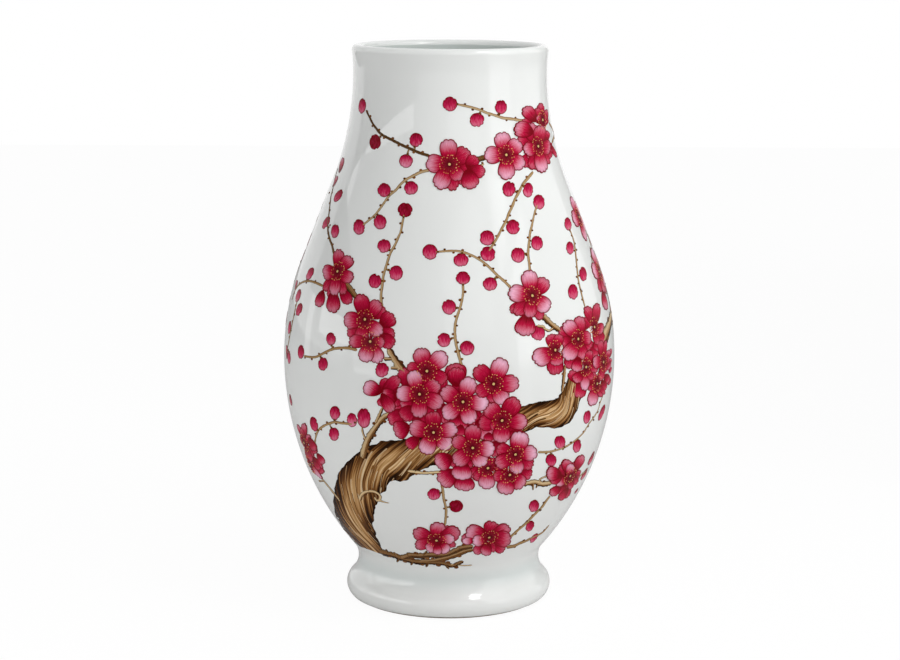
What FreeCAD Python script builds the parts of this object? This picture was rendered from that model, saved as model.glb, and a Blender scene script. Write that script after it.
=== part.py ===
import FreeCAD, Part
import math
import os

import Sketcher
from FreeCAD import Vector

# A wide-mouthed porcelain vase, built the way a potter builds it: thrown sections, luted with slip.
# One outline is turned into the whole fired wall. Seats cut that wall into its sections, and the
# layer of slip in each seat is a piece of its own, so that everything meets face to face.
# Millimetres, +Z up, the origin under the centre of the foot rim.

SIZES = {
    # The whole vase
    "height": 350.0,
    "wall": 5.0,
    # Mouth and neck: narrowest a little below the lip, which turns out by the flare
    "neck_radius": 59.9,
    "neck_depth": 16.0,
    "lip_flare": 0.7,
    # The heights and curves of the belly and the shoulder are given for a neck at this height. A
    # taller or a shorter vase stretches them with it.
    "drawn_neck_height": 334.0,
    # Shoulder: the swelling curve, a straight stretch, then the hollow curve into the neck
    "shoulder_curve": 169.0,
    "shoulder_straight": 57.0,
    # Belly, at its widest
    "belly_radius": 103.8,
    "belly_height": 155.0,
    # Waist, the groove above the foot
    "waist_curve": 16.2,
    "waist_height": 25.7,
    # Foot: a round bead outside, a flat bare rim below and a recess inside
    "foot_radius": 64.8,
    "foot_bead": 8.1,
    "rim_width": 6.2,
    "rim_bevel": 0.8,
    "recess_taper": 3.7,
    "recess_depth": 27.0,
    # Floor: a tapered disc that is pushed up into the bowl, and whose edge sits on the foot
    "floor_thickness": 7.0,
    "floor_fillet": 10.0,
    "disc_seat": 4.0,
    "disc_taper": 3.5,
    # Luted seats: a bevelled seat falls outwards by the slope
    "slip": 0.8,
    "seat_slope": 0.35,
    "neck_seat_height": 288.0,
    # How far a cutting shape runs past the wall
    "overrun": 12.0,
}

# What follows from the driving sizes: the stretched outline, the foot's rim and the floor's disc
FOLLOWING = {
    "neck_at": "height - neck_depth",
    "stretch": "neck_at / drawn_neck_height",
    "neck_seat_at": "neck_seat_height * stretch",
    "shoulder_bend": "shoulder_curve * stretch",
    "shoulder_run": "shoulder_straight * stretch",
    "belly_at": "belly_height * stretch",
    "rim_outer": "foot_radius - foot_bead",
    "rim_inner": "rim_outer - rim_width",
    "recess_inner": "rim_inner - rim_bevel - recess_taper",
    "disc_below": "recess_inner + disc_seat",
    "disc_above": "disc_below - disc_taper",
    "floor_at": "recess_depth + floor_thickness",
}

# How a sketch numbers a curve's points, and its own two axes and origin
START, END, CENTRE = range(1, 4)
ACROSS_AXIS, UPRIGHT_AXIS = range(-1, -3, -1)
ORIGIN = ACROSS_AXIS, START

document = FreeCAD.newDocument("vase")
sheet = document.addObject("Spreadsheet::Sheet", "Sizes")
cells = [(alias, str(value)) for alias, value in SIZES.items()]
cells += [(alias, "=" + formula) for alias, formula in FOLLOWING.items()]
for row, (alias, content) in enumerate(cells, start=1):
    sheet.set(f"A{row}", alias)
    sheet.set(f"B{row}", content)
    sheet.setAlias(f"B{row}", alias)
document.recompute()


def size(alias):
    """One size, as the sheet holds it."""
    return float(sheet.get(alias))


def upright_sketch(body):
    """A sketch on the body's own XZ plane: across is the radius, up is the height."""
    sketch = body.newObject("Sketcher::SketchObject", body.Name + "_outline")
    upright = next(f for f in body.Origin.OriginFeatures if f.Role == "XZ_Plane")
    sketch.AttachmentSupport = [(upright, "")]
    sketch.MapMode = "FlatFace"
    return sketch


def turn(body, sketch):
    """Turn the sketch once round the vase's axis."""
    revolution = body.newObject("PartDesign::Revolution", body.Name + "_turned")
    revolution.Profile = sketch
    revolution.ReferenceAxis = (sketch, ["V_Axis"])
    revolution.Angle = 360.0


def bind(sketch, name, expression, kind, *places):
    """Add a named constraint whose value is an expression in the sheet's dimensions."""
    value = float(sketch.evalExpression(expression))
    index = sketch.addConstraint(Sketcher.Constraint(kind, *places, value))
    sketch.renameConstraint(index, name)
    sketch.setExpression("Constraints." + name, expression)


def at_radius(sketch, name, expression, geometry, point):
    bind(sketch, name, expression, "DistanceX", *ORIGIN, geometry, point)


def at_height(sketch, name, expression, geometry, point):
    bind(sketch, name, expression, "DistanceY", *ORIGIN, geometry, point)


def turned_polygon(name, corners):
    """A body turned from straight lines. Each corner is its radius and its height, as expressions;
    a radius of None lies on the axis."""
    body = document.addObject("PartDesign::Body", name)
    sketch = upright_sketch(body)
    points = []
    for radius, height in corners:
        across = float(sketch.evalExpression(radius)) if radius else 0
        points.append(Vector(across, float(sketch.evalExpression(height)), 0))
    for first, second in zip(points, points[1:] + points[:1]):
        sketch.addGeometry(Part.LineSegment(first, second))
    for side in range(len(points)):
        following = (side + 1) % len(points)
        sketch.addConstraint(Sketcher.Constraint("Coincident", side, END, following, START))
    for side, (radius, height) in enumerate(corners):
        if radius:
            at_radius(sketch, f"radius_{side}", radius, side, START)
        else:
            sketch.addConstraint(Sketcher.Constraint("PointOnObject", side, START, UPRIGHT_AXIS))
        at_height(sketch, f"height_{side}", height, side, START)
    turn(body, sketch)
    return body


def arc(centre, radius, first_angle, last_angle):
    circle = Part.Circle(Vector(*centre, 0), Vector(0, 0, 1), radius)
    return Part.ArcOfCircle(circle, first_angle, last_angle)


def line(first, second):
    return Part.LineSegment(Vector(*first, 0), Vector(*second, 0))


def on_arc(centre, radius, angle):
    return centre[0] + radius * math.cos(angle), centre[1] + radius * math.sin(angle)


def vase_wall():
    """The whole fired wall. The sketch starts from the arcs' worked-out places, and its
    constraints keep them tangent when a dimension changes."""
    wall = size("wall")
    top = size("height")
    neck = size("neck_radius"), size("neck_at")
    belly = size("belly_radius"), size("belly_at")

    # Foot bead, and the waist's hollow curve that touches it
    bead = size("foot_bead")
    bead_centre = size("rim_outer"), bead
    waist = size("waist_curve")
    rise = size("waist_height") - bead
    waist_centre = bead_centre[0] + math.sqrt((bead + waist) ** 2 - rise**2), bead + rise
    bead_angle = math.atan2(rise, waist_centre[0] - bead_centre[0])

    # Bowl: upright at the belly and tangent to the waist
    across = waist_centre[0] - belly[0]
    down = waist_centre[1] - belly[1]
    bowl = (across**2 + down**2 - waist**2) / (2 * (waist - across))
    bowl_centre = belly[0] - bowl, belly[1]
    waist_angle = math.atan2(-down, bowl_centre[0] - waist_centre[0])

    # Shoulder: upright at the belly, straight, then hollow and upright at the neck
    shoulder = size("shoulder_bend")
    straight = size("shoulder_run")
    shoulder_centre = belly[0] - shoulder, belly[1]
    inwards = neck[0] - shoulder_centre[0]
    upwards = neck[1] - belly[1]
    hollow = (inwards**2 + upwards**2 - shoulder**2 - straight**2) / (2 * (shoulder - inwards))
    hollow_centre = neck[0] + hollow, neck[1]
    between = math.hypot(inwards + hollow, upwards)
    shoulder_angle = math.atan2(upwards, inwards + hollow) - math.acos((shoulder + hollow) / between)

    # Lip: a half round as thick as the wall and the flare, met by the flaring curve
    lip = (size("lip_flare") + wall) / 2
    lip_centre = neck[0] - wall + lip, top - lip
    over = neck[0] - lip_centre[0]
    up = lip_centre[1] - neck[1]
    flare = (over**2 + up**2 - lip**2) / (2 * (lip - over))
    flare_centre = neck[0] + flare, neck[1]
    lip_angle = math.atan2(up, over + flare)

    # Inside: the same curves, one wall further in, and a fillet down to the floor
    recess = size("recess_depth")
    floor = size("floor_at")
    fillet = size("floor_fillet")
    drop = belly[1] - floor - fillet
    fillet_centre = bowl_centre[0] + math.sqrt((bowl - wall - fillet) ** 2 - drop**2), floor + fillet
    fillet_angle = -math.atan2(drop, fillet_centre[0] - bowl_centre[0])
    bevel = size("rim_bevel")

    half_turn = math.pi
    quarter_turn = math.pi / 2
    shapes = {
        "rim": line((size("rim_inner"), 0), (bead_centre[0], 0)),
        "bead": arc(bead_centre, bead, -quarter_turn, bead_angle),
        "waist": arc(waist_centre, waist, waist_angle, half_turn + bead_angle),
        "bowl": arc(bowl_centre, bowl, waist_angle - half_turn, 0),
        "shoulder": arc(shoulder_centre, shoulder, 0, shoulder_angle),
        "straight": line(
            on_arc(shoulder_centre, shoulder, shoulder_angle),
            on_arc(hollow_centre, hollow, half_turn + shoulder_angle),
        ),
        "hollow": arc(hollow_centre, hollow, half_turn, half_turn + shoulder_angle),
        "flare": arc(flare_centre, flare, half_turn - lip_angle, half_turn),
        "lip": arc(lip_centre, lip, -lip_angle, half_turn),
        "mouth_inside": line((neck[0] - wall, lip_centre[1]), (neck[0] - wall, neck[1])),
        "hollow_inside": arc(hollow_centre, hollow + wall, half_turn, half_turn + shoulder_angle),
        "straight_inside": line(
            on_arc(hollow_centre, hollow + wall, half_turn + shoulder_angle),
            on_arc(shoulder_centre, shoulder - wall, shoulder_angle),
        ),
        "shoulder_inside": arc(shoulder_centre, shoulder - wall, 0, shoulder_angle),
        "bowl_inside": arc(bowl_centre, bowl - wall, fillet_angle, 0),
        "fillet": arc(fillet_centre, fillet, -quarter_turn, fillet_angle),
        "floor": line((fillet_centre[0], floor), (0, floor)),
        "axis": line((0, floor), (0, recess)),
        "ceiling": line((0, recess), (size("recess_inner"), recess)),
        "recess": line((size("recess_inner"), recess), (size("rim_inner") - bevel, bevel)),
        "bevel": line((size("rim_inner") - bevel, bevel), (size("rim_inner"), 0)),
    }
    body = document.addObject("PartDesign::Body", "vase_wall")
    sketch = upright_sketch(body)
    at = {name: sketch.addGeometry(shape) for name, shape in shapes.items()}

    # Neighbours that run smoothly into each other
    for first, first_end, second, second_end in (
        ("rim", END, "bead", START),
        ("bead", END, "waist", END),
        ("waist", START, "bowl", START),
        ("bowl", END, "shoulder", START),
        ("shoulder", END, "straight", START),
        ("straight", END, "hollow", END),
        ("hollow", START, "flare", END),
        ("flare", START, "lip", START),
        ("lip", END, "mouth_inside", START),
        ("mouth_inside", END, "hollow_inside", START),
        ("hollow_inside", END, "straight_inside", START),
        ("straight_inside", END, "shoulder_inside", END),
        ("shoulder_inside", START, "bowl_inside", END),
        ("bowl_inside", START, "fillet", END),
        ("fillet", START, "floor", START),
    ):
        ends = at[first], first_end, at[second], second_end
        sketch.addConstraint(Sketcher.Constraint("Tangent", *ends))

    # Neighbours that meet at a corner
    for first, second in (
        ("floor", "axis"),
        ("axis", "ceiling"),
        ("ceiling", "recess"),
        ("recess", "bevel"),
        ("bevel", "rim"),
    ):
        ends = at[first], END, at[second], START
        sketch.addConstraint(Sketcher.Constraint("Coincident", *ends))

    # Inner curves share their centres with the outer ones
    for inside in ("hollow_inside", "shoulder_inside", "bowl_inside"):
        outside = inside.replace("_inside", "")
        centres = at[inside], CENTRE, at[outside], CENTRE
        sketch.addConstraint(Sketcher.Constraint("Coincident", *centres))

    # Upright at the belly and the neck, level along the rim, the floor and the ceiling
    for place in (
        ("Horizontal", at["bowl"], CENTRE, at["bowl"], END),
        ("Horizontal", at["hollow"], CENTRE, at["hollow"], START),
        ("Vertical", at["mouth_inside"]),
        ("Horizontal", at["rim"]),
        ("Horizontal", at["floor"]),
        ("Horizontal", at["ceiling"]),
        ("PointOnObject", at["rim"], START, ACROSS_AXIS),
        ("PointOnObject", at["floor"], END, UPRIGHT_AXIS),
        ("PointOnObject", at["axis"], END, UPRIGHT_AXIS),
    ):
        sketch.addConstraint(Sketcher.Constraint(*place))

    for name, expression in (
        ("bead", "Sizes.foot_bead"),
        ("waist", "Sizes.waist_curve"),
        ("shoulder", "Sizes.shoulder_bend"),
        ("lip", "(Sizes.lip_flare + Sizes.wall) / 2"),
        ("fillet", "Sizes.floor_fillet"),
    ):
        bind(sketch, name + "_curve", expression, "Radius", at[name])
    bind(sketch, "straight_run", "Sizes.shoulder_run", "Distance", at["straight"])

    for name, point, expression in (
        ("bead", CENTRE, "Sizes.rim_outer"),
        ("bowl", END, "Sizes.belly_radius"),
        ("hollow", START, "Sizes.neck_radius"),
        ("mouth_inside", START, "Sizes.neck_radius - Sizes.wall"),
        ("shoulder_inside", START, "Sizes.belly_radius - Sizes.wall"),
        ("ceiling", END, "Sizes.recess_inner"),
        ("recess", END, "Sizes.rim_inner - Sizes.rim_bevel"),
        ("rim", START, "Sizes.rim_inner"),
    ):
        at_radius(sketch, name + "_radius", expression, at[name], point)

    for name, point, expression in (
        ("waist", CENTRE, "Sizes.waist_height"),
        ("bowl", END, "Sizes.belly_at"),
        ("hollow", START, "Sizes.neck_at"),
        ("lip", CENTRE, "Sizes.height - (Sizes.lip_flare + Sizes.wall) / 2"),
        ("floor", START, "Sizes.floor_at"),
        ("ceiling", END, "Sizes.recess_depth"),
        ("recess", END, "Sizes.rim_bevel"),
    ):
        at_height(sketch, name + "_height", expression, at[name], point)

    turn(body, sketch)
    return body


REACH = "Sizes.belly_radius + Sizes.overrun"
BELLY_SEAT = "Sizes.belly_at", "Sizes.belly_radius"
NECK_SEAT = "Sizes.neck_seat_at", "Sizes.neck_radius"


def bevelled_seat(seat, lift="0"):
    """A seat's line from the axis to past the wall. It passes the seat's height at the seat's
    radius, falls outwards by the slope, and the lift raises it."""
    height, radius = seat
    at_axis = f"{height} + {lift} + Sizes.seat_slope * {radius}"
    return (None, at_axis), (REACH, f"{at_axis} - Sizes.seat_slope * ({REACH})")


def level_seat(height):
    """A level line from the axis to past the wall."""
    return (None, height), (REACH, height)


def piece_of_wall(name, below, above):
    """The part of the wall that lies between two seats."""
    space = turned_polygon(name + "_space", (*below, *reversed(above)))
    piece = document.addObject("Part::Common", name)
    piece.Base = wall
    piece.Tool = space
    return piece


# The wall, and the seats that divide it, from the foot rim up
wall = vase_wall()
below_rim = level_seat("-Sizes.overrun")
foot_top = level_seat("Sizes.recess_depth - Sizes.slip")
bowl_bottom = level_seat("Sizes.recess_depth")
bowl_top = bevelled_seat(BELLY_SEAT)
shoulder_bottom = bevelled_seat(BELLY_SEAT, "Sizes.slip")
shoulder_top = bevelled_seat(NECK_SEAT)
neck_bottom = bevelled_seat(NECK_SEAT, "Sizes.slip")
above_lip = level_seat("Sizes.height + Sizes.overrun")

foot_section = piece_of_wall("foot_section", below_rim, foot_top)
foot_slip = piece_of_wall("foot_slip", foot_top, bowl_bottom)
bowl = piece_of_wall("bowl_with_floor", bowl_bottom, bowl_top)
belly_slip = piece_of_wall("belly_slip", bowl_top, shoulder_bottom)
upper_body_section = piece_of_wall("upper_body_section", shoulder_bottom, shoulder_top)
neck_slip = piece_of_wall("neck_slip", shoulder_top, neck_bottom)
neck_section = piece_of_wall("neck_section", neck_bottom, above_lip)

# The floor disc tapers upwards. Its slip lines the opening that it is pushed into.
FLOOR_BELOW = "Sizes.recess_depth"
FLOOR_ABOVE = "Sizes.floor_at"
DISC_EDGE = ("Sizes.disc_below", FLOOR_BELOW), ("Sizes.disc_above", FLOOR_ABOVE)
OPENING_EDGE = tuple((f"{radius} + Sizes.slip", height) for radius, height in DISC_EDGE)
AXIS_EDGE = (None, FLOOR_BELOW), (None, FLOOR_ABOVE)

floor_disc = turned_polygon("floor_disc", (*DISC_EDGE, *reversed(AXIS_EDGE)))
floor_slip = turned_polygon("floor_slip", (*OPENING_EDGE, *reversed(DISC_EDGE)))
floor_opening = turned_polygon("floor_opening", (*OPENING_EDGE, *reversed(AXIS_EDGE)))
lower_body_section = document.addObject("Part::Cut", "lower_body_section")
lower_body_section.Base = bowl
lower_body_section.Tool = floor_opening

pieces = (
    neck_section,
    neck_slip,
    upper_body_section,
    belly_slip,
    lower_body_section,
    floor_slip,
    floor_disc,
    foot_slip,
    foot_section,
)
for piece in pieces:
    piece.Label = piece.Name
    piece.Placement = FreeCAD.Placement()
document.recompute()

failed = [o.Name for o in document.Objects if "Invalid" in o.State or "Error" in o.State]
if failed:
    raise RuntimeError("failed objects: " + ", ".join(failed))
for piece in pieces:
    if piece.Shape.isNull() or not piece.Shape.isValid() or len(piece.Shape.Solids) != 1:
        raise RuntimeError("not one valid solid: " + piece.Label)

# The pieces fill the wall, with nothing over and nothing left out
together = sum(piece.Shape.Volume for piece in pieces)
print(f"wall {wall.Shape.Volume:.1f} mm3, its pieces together {together:.1f} mm3")

os.makedirs("parts", exist_ok=True)
for piece in pieces:
    piece.Shape.exportStep(f"parts/{piece.Label}.step")
    print(f"{piece.Label}: {piece.Shape.Volume:.0f} mm3")
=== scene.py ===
# %% [markdown]
# A porcelain vase with a wide mouth, painted over the glaze with red plum blossom.
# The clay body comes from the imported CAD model: five thrown sections and the slip that lutes them.
# What the eye sees on the real one is laid over that clay in two firings, and this notebook makes
# it in the same order: the clear glaze, then the enamels that stand a hair proud of the glaze.
# Everything is in metres, with +Z up and the vase's axis at the origin.

# %% Tools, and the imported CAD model
import math
import random

import bpy
import numpy as np
from mathutils import Matrix, Vector


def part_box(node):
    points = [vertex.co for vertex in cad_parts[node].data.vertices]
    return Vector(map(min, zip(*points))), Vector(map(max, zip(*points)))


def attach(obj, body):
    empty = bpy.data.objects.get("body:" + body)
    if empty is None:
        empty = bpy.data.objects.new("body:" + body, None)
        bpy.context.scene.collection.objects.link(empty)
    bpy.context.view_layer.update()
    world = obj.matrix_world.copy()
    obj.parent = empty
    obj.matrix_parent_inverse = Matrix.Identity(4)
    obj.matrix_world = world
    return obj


MM = 0.001
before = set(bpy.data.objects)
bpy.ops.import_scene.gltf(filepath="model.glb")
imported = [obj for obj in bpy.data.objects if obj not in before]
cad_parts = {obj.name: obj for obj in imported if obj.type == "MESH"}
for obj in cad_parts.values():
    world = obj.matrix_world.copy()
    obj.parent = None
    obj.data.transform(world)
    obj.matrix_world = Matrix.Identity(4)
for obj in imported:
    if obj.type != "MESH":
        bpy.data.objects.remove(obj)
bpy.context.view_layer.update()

# %% [markdown]
# The outline.
# A thrown vase is one smooth line turned round. The clay's outline is a chain of tangent arcs, so a
# few real sizes give all of it. The same sizes drive the CAD model. The alternative is to read the
# outline from the model's mesh, but arcs stay exact however finely they are sampled, and a coat of
# glaze is then simply the same arcs with another radius.

# %% The real sizes
HEIGHT = 350 * MM
WALL = 5 * MM
NECK_RADIUS, NECK_DEPTH, LIP_FLARE = 59.9 * MM, 16 * MM, 0.7 * MM
SHOULDER_CURVE, SHOULDER_RUN = 169 * MM, 57 * MM
BELLY_RADIUS, BELLY_HEIGHT = 103.8 * MM, 155 * MM
WAIST_CURVE, WAIST_HEIGHT = 16.2 * MM, 25.7 * MM
FOOT_RADIUS, FOOT_BEAD, RIM_WIDTH, RIM_BEVEL = 64.8 * MM, 8.1 * MM, 6.2 * MM, 0.8 * MM
RECESS_TAPER, RECESS_DEPTH = 3.7 * MM, 27 * MM
FLOOR_THICKNESS, FLOOR_FILLET = 7 * MM, 10 * MM
GLAZE = 0.35 * MM
GLAZE_END = 2.0 * MM
print("height and belly, mm:", round(HEIGHT / MM), "by", round(2 * BELLY_RADIUS / MM, 1))

# %% Arcs and lines, sampled
QUARTER, TURN = math.pi / 2, 2 * math.pi
STEP, LIP_STEP, BEAD_STEP = 1.6 * MM, 0.5 * MM, 0.8 * MM
DOUBLED = 1e-7  # Points nearer than this are one


def arc_points(centre, radius, first, last, step=STEP):
    """Points along an arc in the (radius, height) plane, with their outward directions."""
    count = max(2, math.ceil(abs(last - first) * radius / step) + 1)
    turn = np.linspace(first, last, count)
    out = np.stack([np.cos(turn), np.sin(turn)], axis=1)
    return np.array(centre) + radius * out, out


def line_points(first, last, out):
    first, last = np.array(first), np.array(last)
    count = max(2, math.ceil(np.linalg.norm(last - first) / STEP) + 1)
    share = np.linspace(0, 1, count)[:, None]
    return first + share * (last - first), np.tile(np.array(out, dtype=float), (count, 1))


def chain(*stretches):
    """Stretches joined into one line, without their doubled ends."""
    points = np.concatenate([s[0] for s in stretches])
    outs = np.concatenate([s[1] for s in stretches])
    apart = np.linalg.norm(np.diff(points, axis=0), axis=1) > DOUBLED
    kept = np.concatenate([[True], apart])
    return points[kept], outs[kept]


print("points on a quarter of the lip:", len(arc_points((0, 0), WALL / 2, 0, QUARTER, LIP_STEP)[0]))

# %% [markdown]
# The arcs' centres follow from tangency, as they do on the drawing board: two arcs touch where the
# line between their centres crosses them.

# %% The arcs' centres and radii
neck_height = HEIGHT - NECK_DEPTH
bead_centre = FOOT_RADIUS - FOOT_BEAD, FOOT_BEAD
rise = WAIST_HEIGHT - FOOT_BEAD
waist_centre = bead_centre[0] + math.sqrt((FOOT_BEAD + WAIST_CURVE) ** 2 - rise**2), WAIST_HEIGHT
bead_angle = math.atan2(rise, waist_centre[0] - bead_centre[0])

across, down = waist_centre[0] - BELLY_RADIUS, WAIST_HEIGHT - BELLY_HEIGHT
BOWL = (across**2 + down**2 - WAIST_CURVE**2) / (2 * (WAIST_CURVE - across))
bowl_centre = BELLY_RADIUS - BOWL, BELLY_HEIGHT
waist_angle = math.atan2(-down, bowl_centre[0] - waist_centre[0])

shoulder_centre = BELLY_RADIUS - SHOULDER_CURVE, BELLY_HEIGHT
inwards, upwards = NECK_RADIUS - shoulder_centre[0], neck_height - BELLY_HEIGHT
squares = inwards**2 + upwards**2 - SHOULDER_CURVE**2 - SHOULDER_RUN**2
HOLLOW = squares / (2 * (SHOULDER_CURVE - inwards))
hollow_centre = NECK_RADIUS + HOLLOW, neck_height
between = math.hypot(inwards + HOLLOW, upwards)
lean = math.acos((SHOULDER_CURVE + HOLLOW) / between)
shoulder_angle = math.atan2(upwards, inwards + HOLLOW) - lean

LIP = (LIP_FLARE + WALL) / 2
lip_centre = NECK_RADIUS - WALL + LIP, HEIGHT - LIP
over, up = NECK_RADIUS - lip_centre[0], lip_centre[1] - neck_height
FLARE = (over**2 + up**2 - LIP**2) / (2 * (LIP - over))
flare_centre = NECK_RADIUS + FLARE, neck_height
lip_angle = math.atan2(up, over + FLARE)

floor_height = RECESS_DEPTH + FLOOR_THICKNESS
drop = BELLY_HEIGHT - floor_height - FLOOR_FILLET
fillet_reach = math.sqrt((BOWL - WALL - FLOOR_FILLET) ** 2 - drop**2)
fillet_centre = bowl_centre[0] + fillet_reach, floor_height + FLOOR_FILLET
fillet_angle = -math.atan2(drop, fillet_reach)
print("bowl, hollow and flare radii, mm:", [round(r / MM, 1) for r in (BOWL, HOLLOW, FLARE)])


# %% The outline outside and inside
def outside(coat, bottom=0.0):
    """The outline from the top of the lip down to the foot's bead, as a coat this thick lies on it.
    The bottom is the height where the coat ends."""
    end = -math.asin(min(1, (FOOT_BEAD - bottom) / (FOOT_BEAD + coat)))
    points, outs = chain(
        arc_points(lip_centre, LIP + coat, QUARTER, -lip_angle, LIP_STEP),
        arc_points(flare_centre, FLARE - coat, math.pi - lip_angle, math.pi),
        arc_points(hollow_centre, HOLLOW - coat, math.pi, math.pi + shoulder_angle),
        arc_points(shoulder_centre, SHOULDER_CURVE + coat, shoulder_angle, 0),
        arc_points(bowl_centre, BOWL + coat, 0, waist_angle - math.pi),
        arc_points(waist_centre, WAIST_CURVE - coat, waist_angle, math.pi + bead_angle),
        arc_points(bead_centre, FOOT_BEAD + coat, bead_angle, end, BEAD_STEP),
    )
    # The hollow arcs' centres lie outside the clay, so their outward directions turn round
    along = np.gradient(points, axis=0)
    facing = along[:, 1] * -outs[:, 0] + along[:, 0] * outs[:, 1]
    return points, outs * np.where(facing < 0, -1.0, 1.0)[:, None]


def inside(coat):
    """The outline from the top of the lip down the inner wall to the middle of the floor."""
    mouth = NECK_RADIUS - WALL
    floor = floor_height + coat
    return chain(
        arc_points(lip_centre, LIP + coat, QUARTER, math.pi, LIP_STEP),
        line_points((mouth - coat, lip_centre[1]), (mouth - coat, neck_height), (-1, 0)),
        arc_points(hollow_centre, HOLLOW + WALL + coat, math.pi, math.pi + shoulder_angle),
        arc_points(shoulder_centre, SHOULDER_CURVE - WALL - coat, shoulder_angle, 0),
        arc_points(bowl_centre, BOWL - WALL - coat, 0, fillet_angle),
        arc_points(fillet_centre, FLOOR_FILLET - coat, fillet_angle, -QUARTER),
        line_points((fillet_centre[0], floor), (0, floor), (0, 1)),
    )


surface, surface_out = outside(GLAZE, GLAZE_END)
clay, _ = outside(0.0)
widest = clay[:, 0].max(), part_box("upper_body_section")[1][0]
print("clay at its widest here and in the CAD, mm:", [round(radius / MM, 2) for radius in widest])

# %% [markdown]
# A map of the glazed surface.
# A painter lays the design on the curved wall as if it were paper. Here too: a place on the surface
# is an angle round the axis, from the front, and a run down the outline. Shapes are drawn flat in
# such a patch of map and then wrapped, so that they hug the wall seen from any side.

# %% The map, and how it wraps round
run_steps = np.linalg.norm(np.diff(surface, axis=0), axis=1)
RUN = np.concatenate([[0.0], np.cumsum(run_steps)])
print("the outline runs", round(RUN[-1] / MM), "mm from the lip to the end of the glaze")


def radius_at(run):
    return np.interp(run, RUN, surface[:, 0])


def run_at(height):
    return np.interp(-np.asarray(height), -surface[:, 1], RUN)


def wrap(angle, run, proud=0.0):
    """Points in space for places on the map, standing proud of the glaze."""
    radius = np.interp(run, RUN, surface[:, 0]) + proud * np.interp(run, RUN, surface_out[:, 0])
    height = np.interp(run, RUN, surface[:, 1]) + proud * np.interp(run, RUN, surface_out[:, 1])
    return np.stack([radius * np.sin(angle), -radius * np.cos(angle), height], axis=-1)


# %% [markdown]
# The camera.
# The outline of the vase and the slopes of its mouth and foot fix the view: a long lens, a little
# above the middle, turned down by ten degrees. The photograph itself leans by a fifth of a degree.

# %% The camera
IMAGE_WIDTH, IMAGE_HEIGHT = 900, 660
FOCAL_PIXELS = 2253
SENSOR = 36.0
CAMERA_PLACE = Vector((0.0004, -1.400, 0.4212))
PITCH_DOWN = math.radians(10.13)
LEAN = math.radians(0.22)

camera_data = bpy.data.cameras.new("camera")
camera_data.sensor_width = SENSOR
camera_data.lens = SENSOR * FOCAL_PIXELS / IMAGE_WIDTH
camera_data.clip_end = 20
camera = bpy.data.objects.new("camera", camera_data)
bpy.context.collection.objects.link(camera)
turned = Matrix.Rotation(QUARTER - PITCH_DOWN, 4, "X") @ Matrix.Rotation(LEAN, 4, "Z")
camera.matrix_world = Matrix.Translation(CAMERA_PLACE) @ turned
bpy.context.scene.camera = camera
print("lens, mm:", round(camera_data.lens, 1))

# %% [markdown]
# From a place in the picture to a place on the vase.
# The design's places are named as pixels of the photograph. A sight line through the pixel meets
# the glaze at one point, so the drawing lands on the wall where the photograph shows it. A line
# that just misses the wall is given the nearest place on its edge.

# %% From pixels to the glaze
SIGHT_NEAR, SIGHT_FAR, SIGHT_STEPS, SIGHT_HALVINGS = 1.25, 1.47, 160, 24
view_turn = np.array(turned.to_3x3())
eye = np.array(CAMERA_PLACE)


def wall_gap(points):
    """How far points are outside the glaze, measured level."""
    radius = np.interp(-points[..., 2], -surface[:, 1], surface[:, 0])
    return np.hypot(points[..., 0], points[..., 1]) - radius


def onto_vase(pixels):
    """The map places, as angles and runs, that pixels of the picture show."""
    pixels = np.atleast_2d(np.asarray(pixels, dtype=float))
    across = (pixels[:, 0] - IMAGE_WIDTH / 2) / FOCAL_PIXELS
    downwards = (pixels[:, 1] - IMAGE_HEIGHT / 2) / FOCAL_PIXELS
    sight = np.stack([across, -downwards, -np.ones(len(pixels))], axis=1)
    sight = sight @ view_turn.T
    sight /= np.linalg.norm(sight, axis=1)[:, None]
    reach = np.linspace(SIGHT_NEAR, SIGHT_FAR, SIGHT_STEPS)
    gaps = wall_gap(eye + reach[None, :, None] * sight[:, None, :])
    inside_wall = gaps < 0
    first = np.argmax(inside_wall, axis=1)
    missed = ~inside_wall.any(axis=1)
    first = np.where(missed, np.argmin(gaps, axis=1), np.maximum(first, 1))
    near, far = reach[np.maximum(first - 1, 0)], reach[first]
    for _ in range(SIGHT_HALVINGS):
        middle = (near + far) / 2
        hit = wall_gap(eye + middle[:, None] * sight) < 0
        near, far = np.where(hit, near, middle), np.where(hit, middle, far)
    points = eye + far[:, None] * sight
    return np.arctan2(points[:, 0], -points[:, 1]), run_at(points[:, 2])


for name, pixel in {"neck": (450, 100), "belly": (450, 360), "left": (300, 360)}.items():
    angle, run = onto_vase(pixel)
    place = wrap(angle, run)[0]
    print(name, "pixel lands at, mm:", (place / MM).round(1))

# %% [markdown]
# How a shader is written down.
# One call makes a node, puts it at its place in the editor and says what each socket gets: a value
# of its own, or the output of another node. A few such calls are sums, fades and mixes, and these
# have short names here.

# %% Colours as light
scene = bpy.context.scene
scene.view_settings.view_transform = "Standard"


def colour(red, green, blue):
    """A colour as it is seen, from 0 to 255, made linear."""
    values = [value / 255 for value in (red, green, blue)]
    linear = [v / 12.92 if v <= 0.04045 else ((v + 0.055) / 1.055) ** 2.4 for v in values]
    return (*linear, 1.0)


def grey(level):
    return level, level, level, 1


print("a middle grey sends back this share of the light:", round(colour(128, 128, 128)[0], 3))


# %% Nodes, sums and products
def fill(tree, sockets, values):
    """Sockets get values, or links from outputs."""
    for socket, value in zip(sockets, values):
        if isinstance(value, bpy.types.NodeSocket):
            tree.links.new(value, socket)
        else:
            socket.default_value = value


def node(tree, kind, place, **settings):
    """A node. What is named like one of its sockets goes there, the rest is the node's own."""
    made = tree.nodes.new(kind)
    made.location = place
    for key, value in settings.items():
        if key in made.inputs:
            fill(tree, [made.inputs[key]], [value])
        else:
            setattr(made, key, value)
    return made


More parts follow.
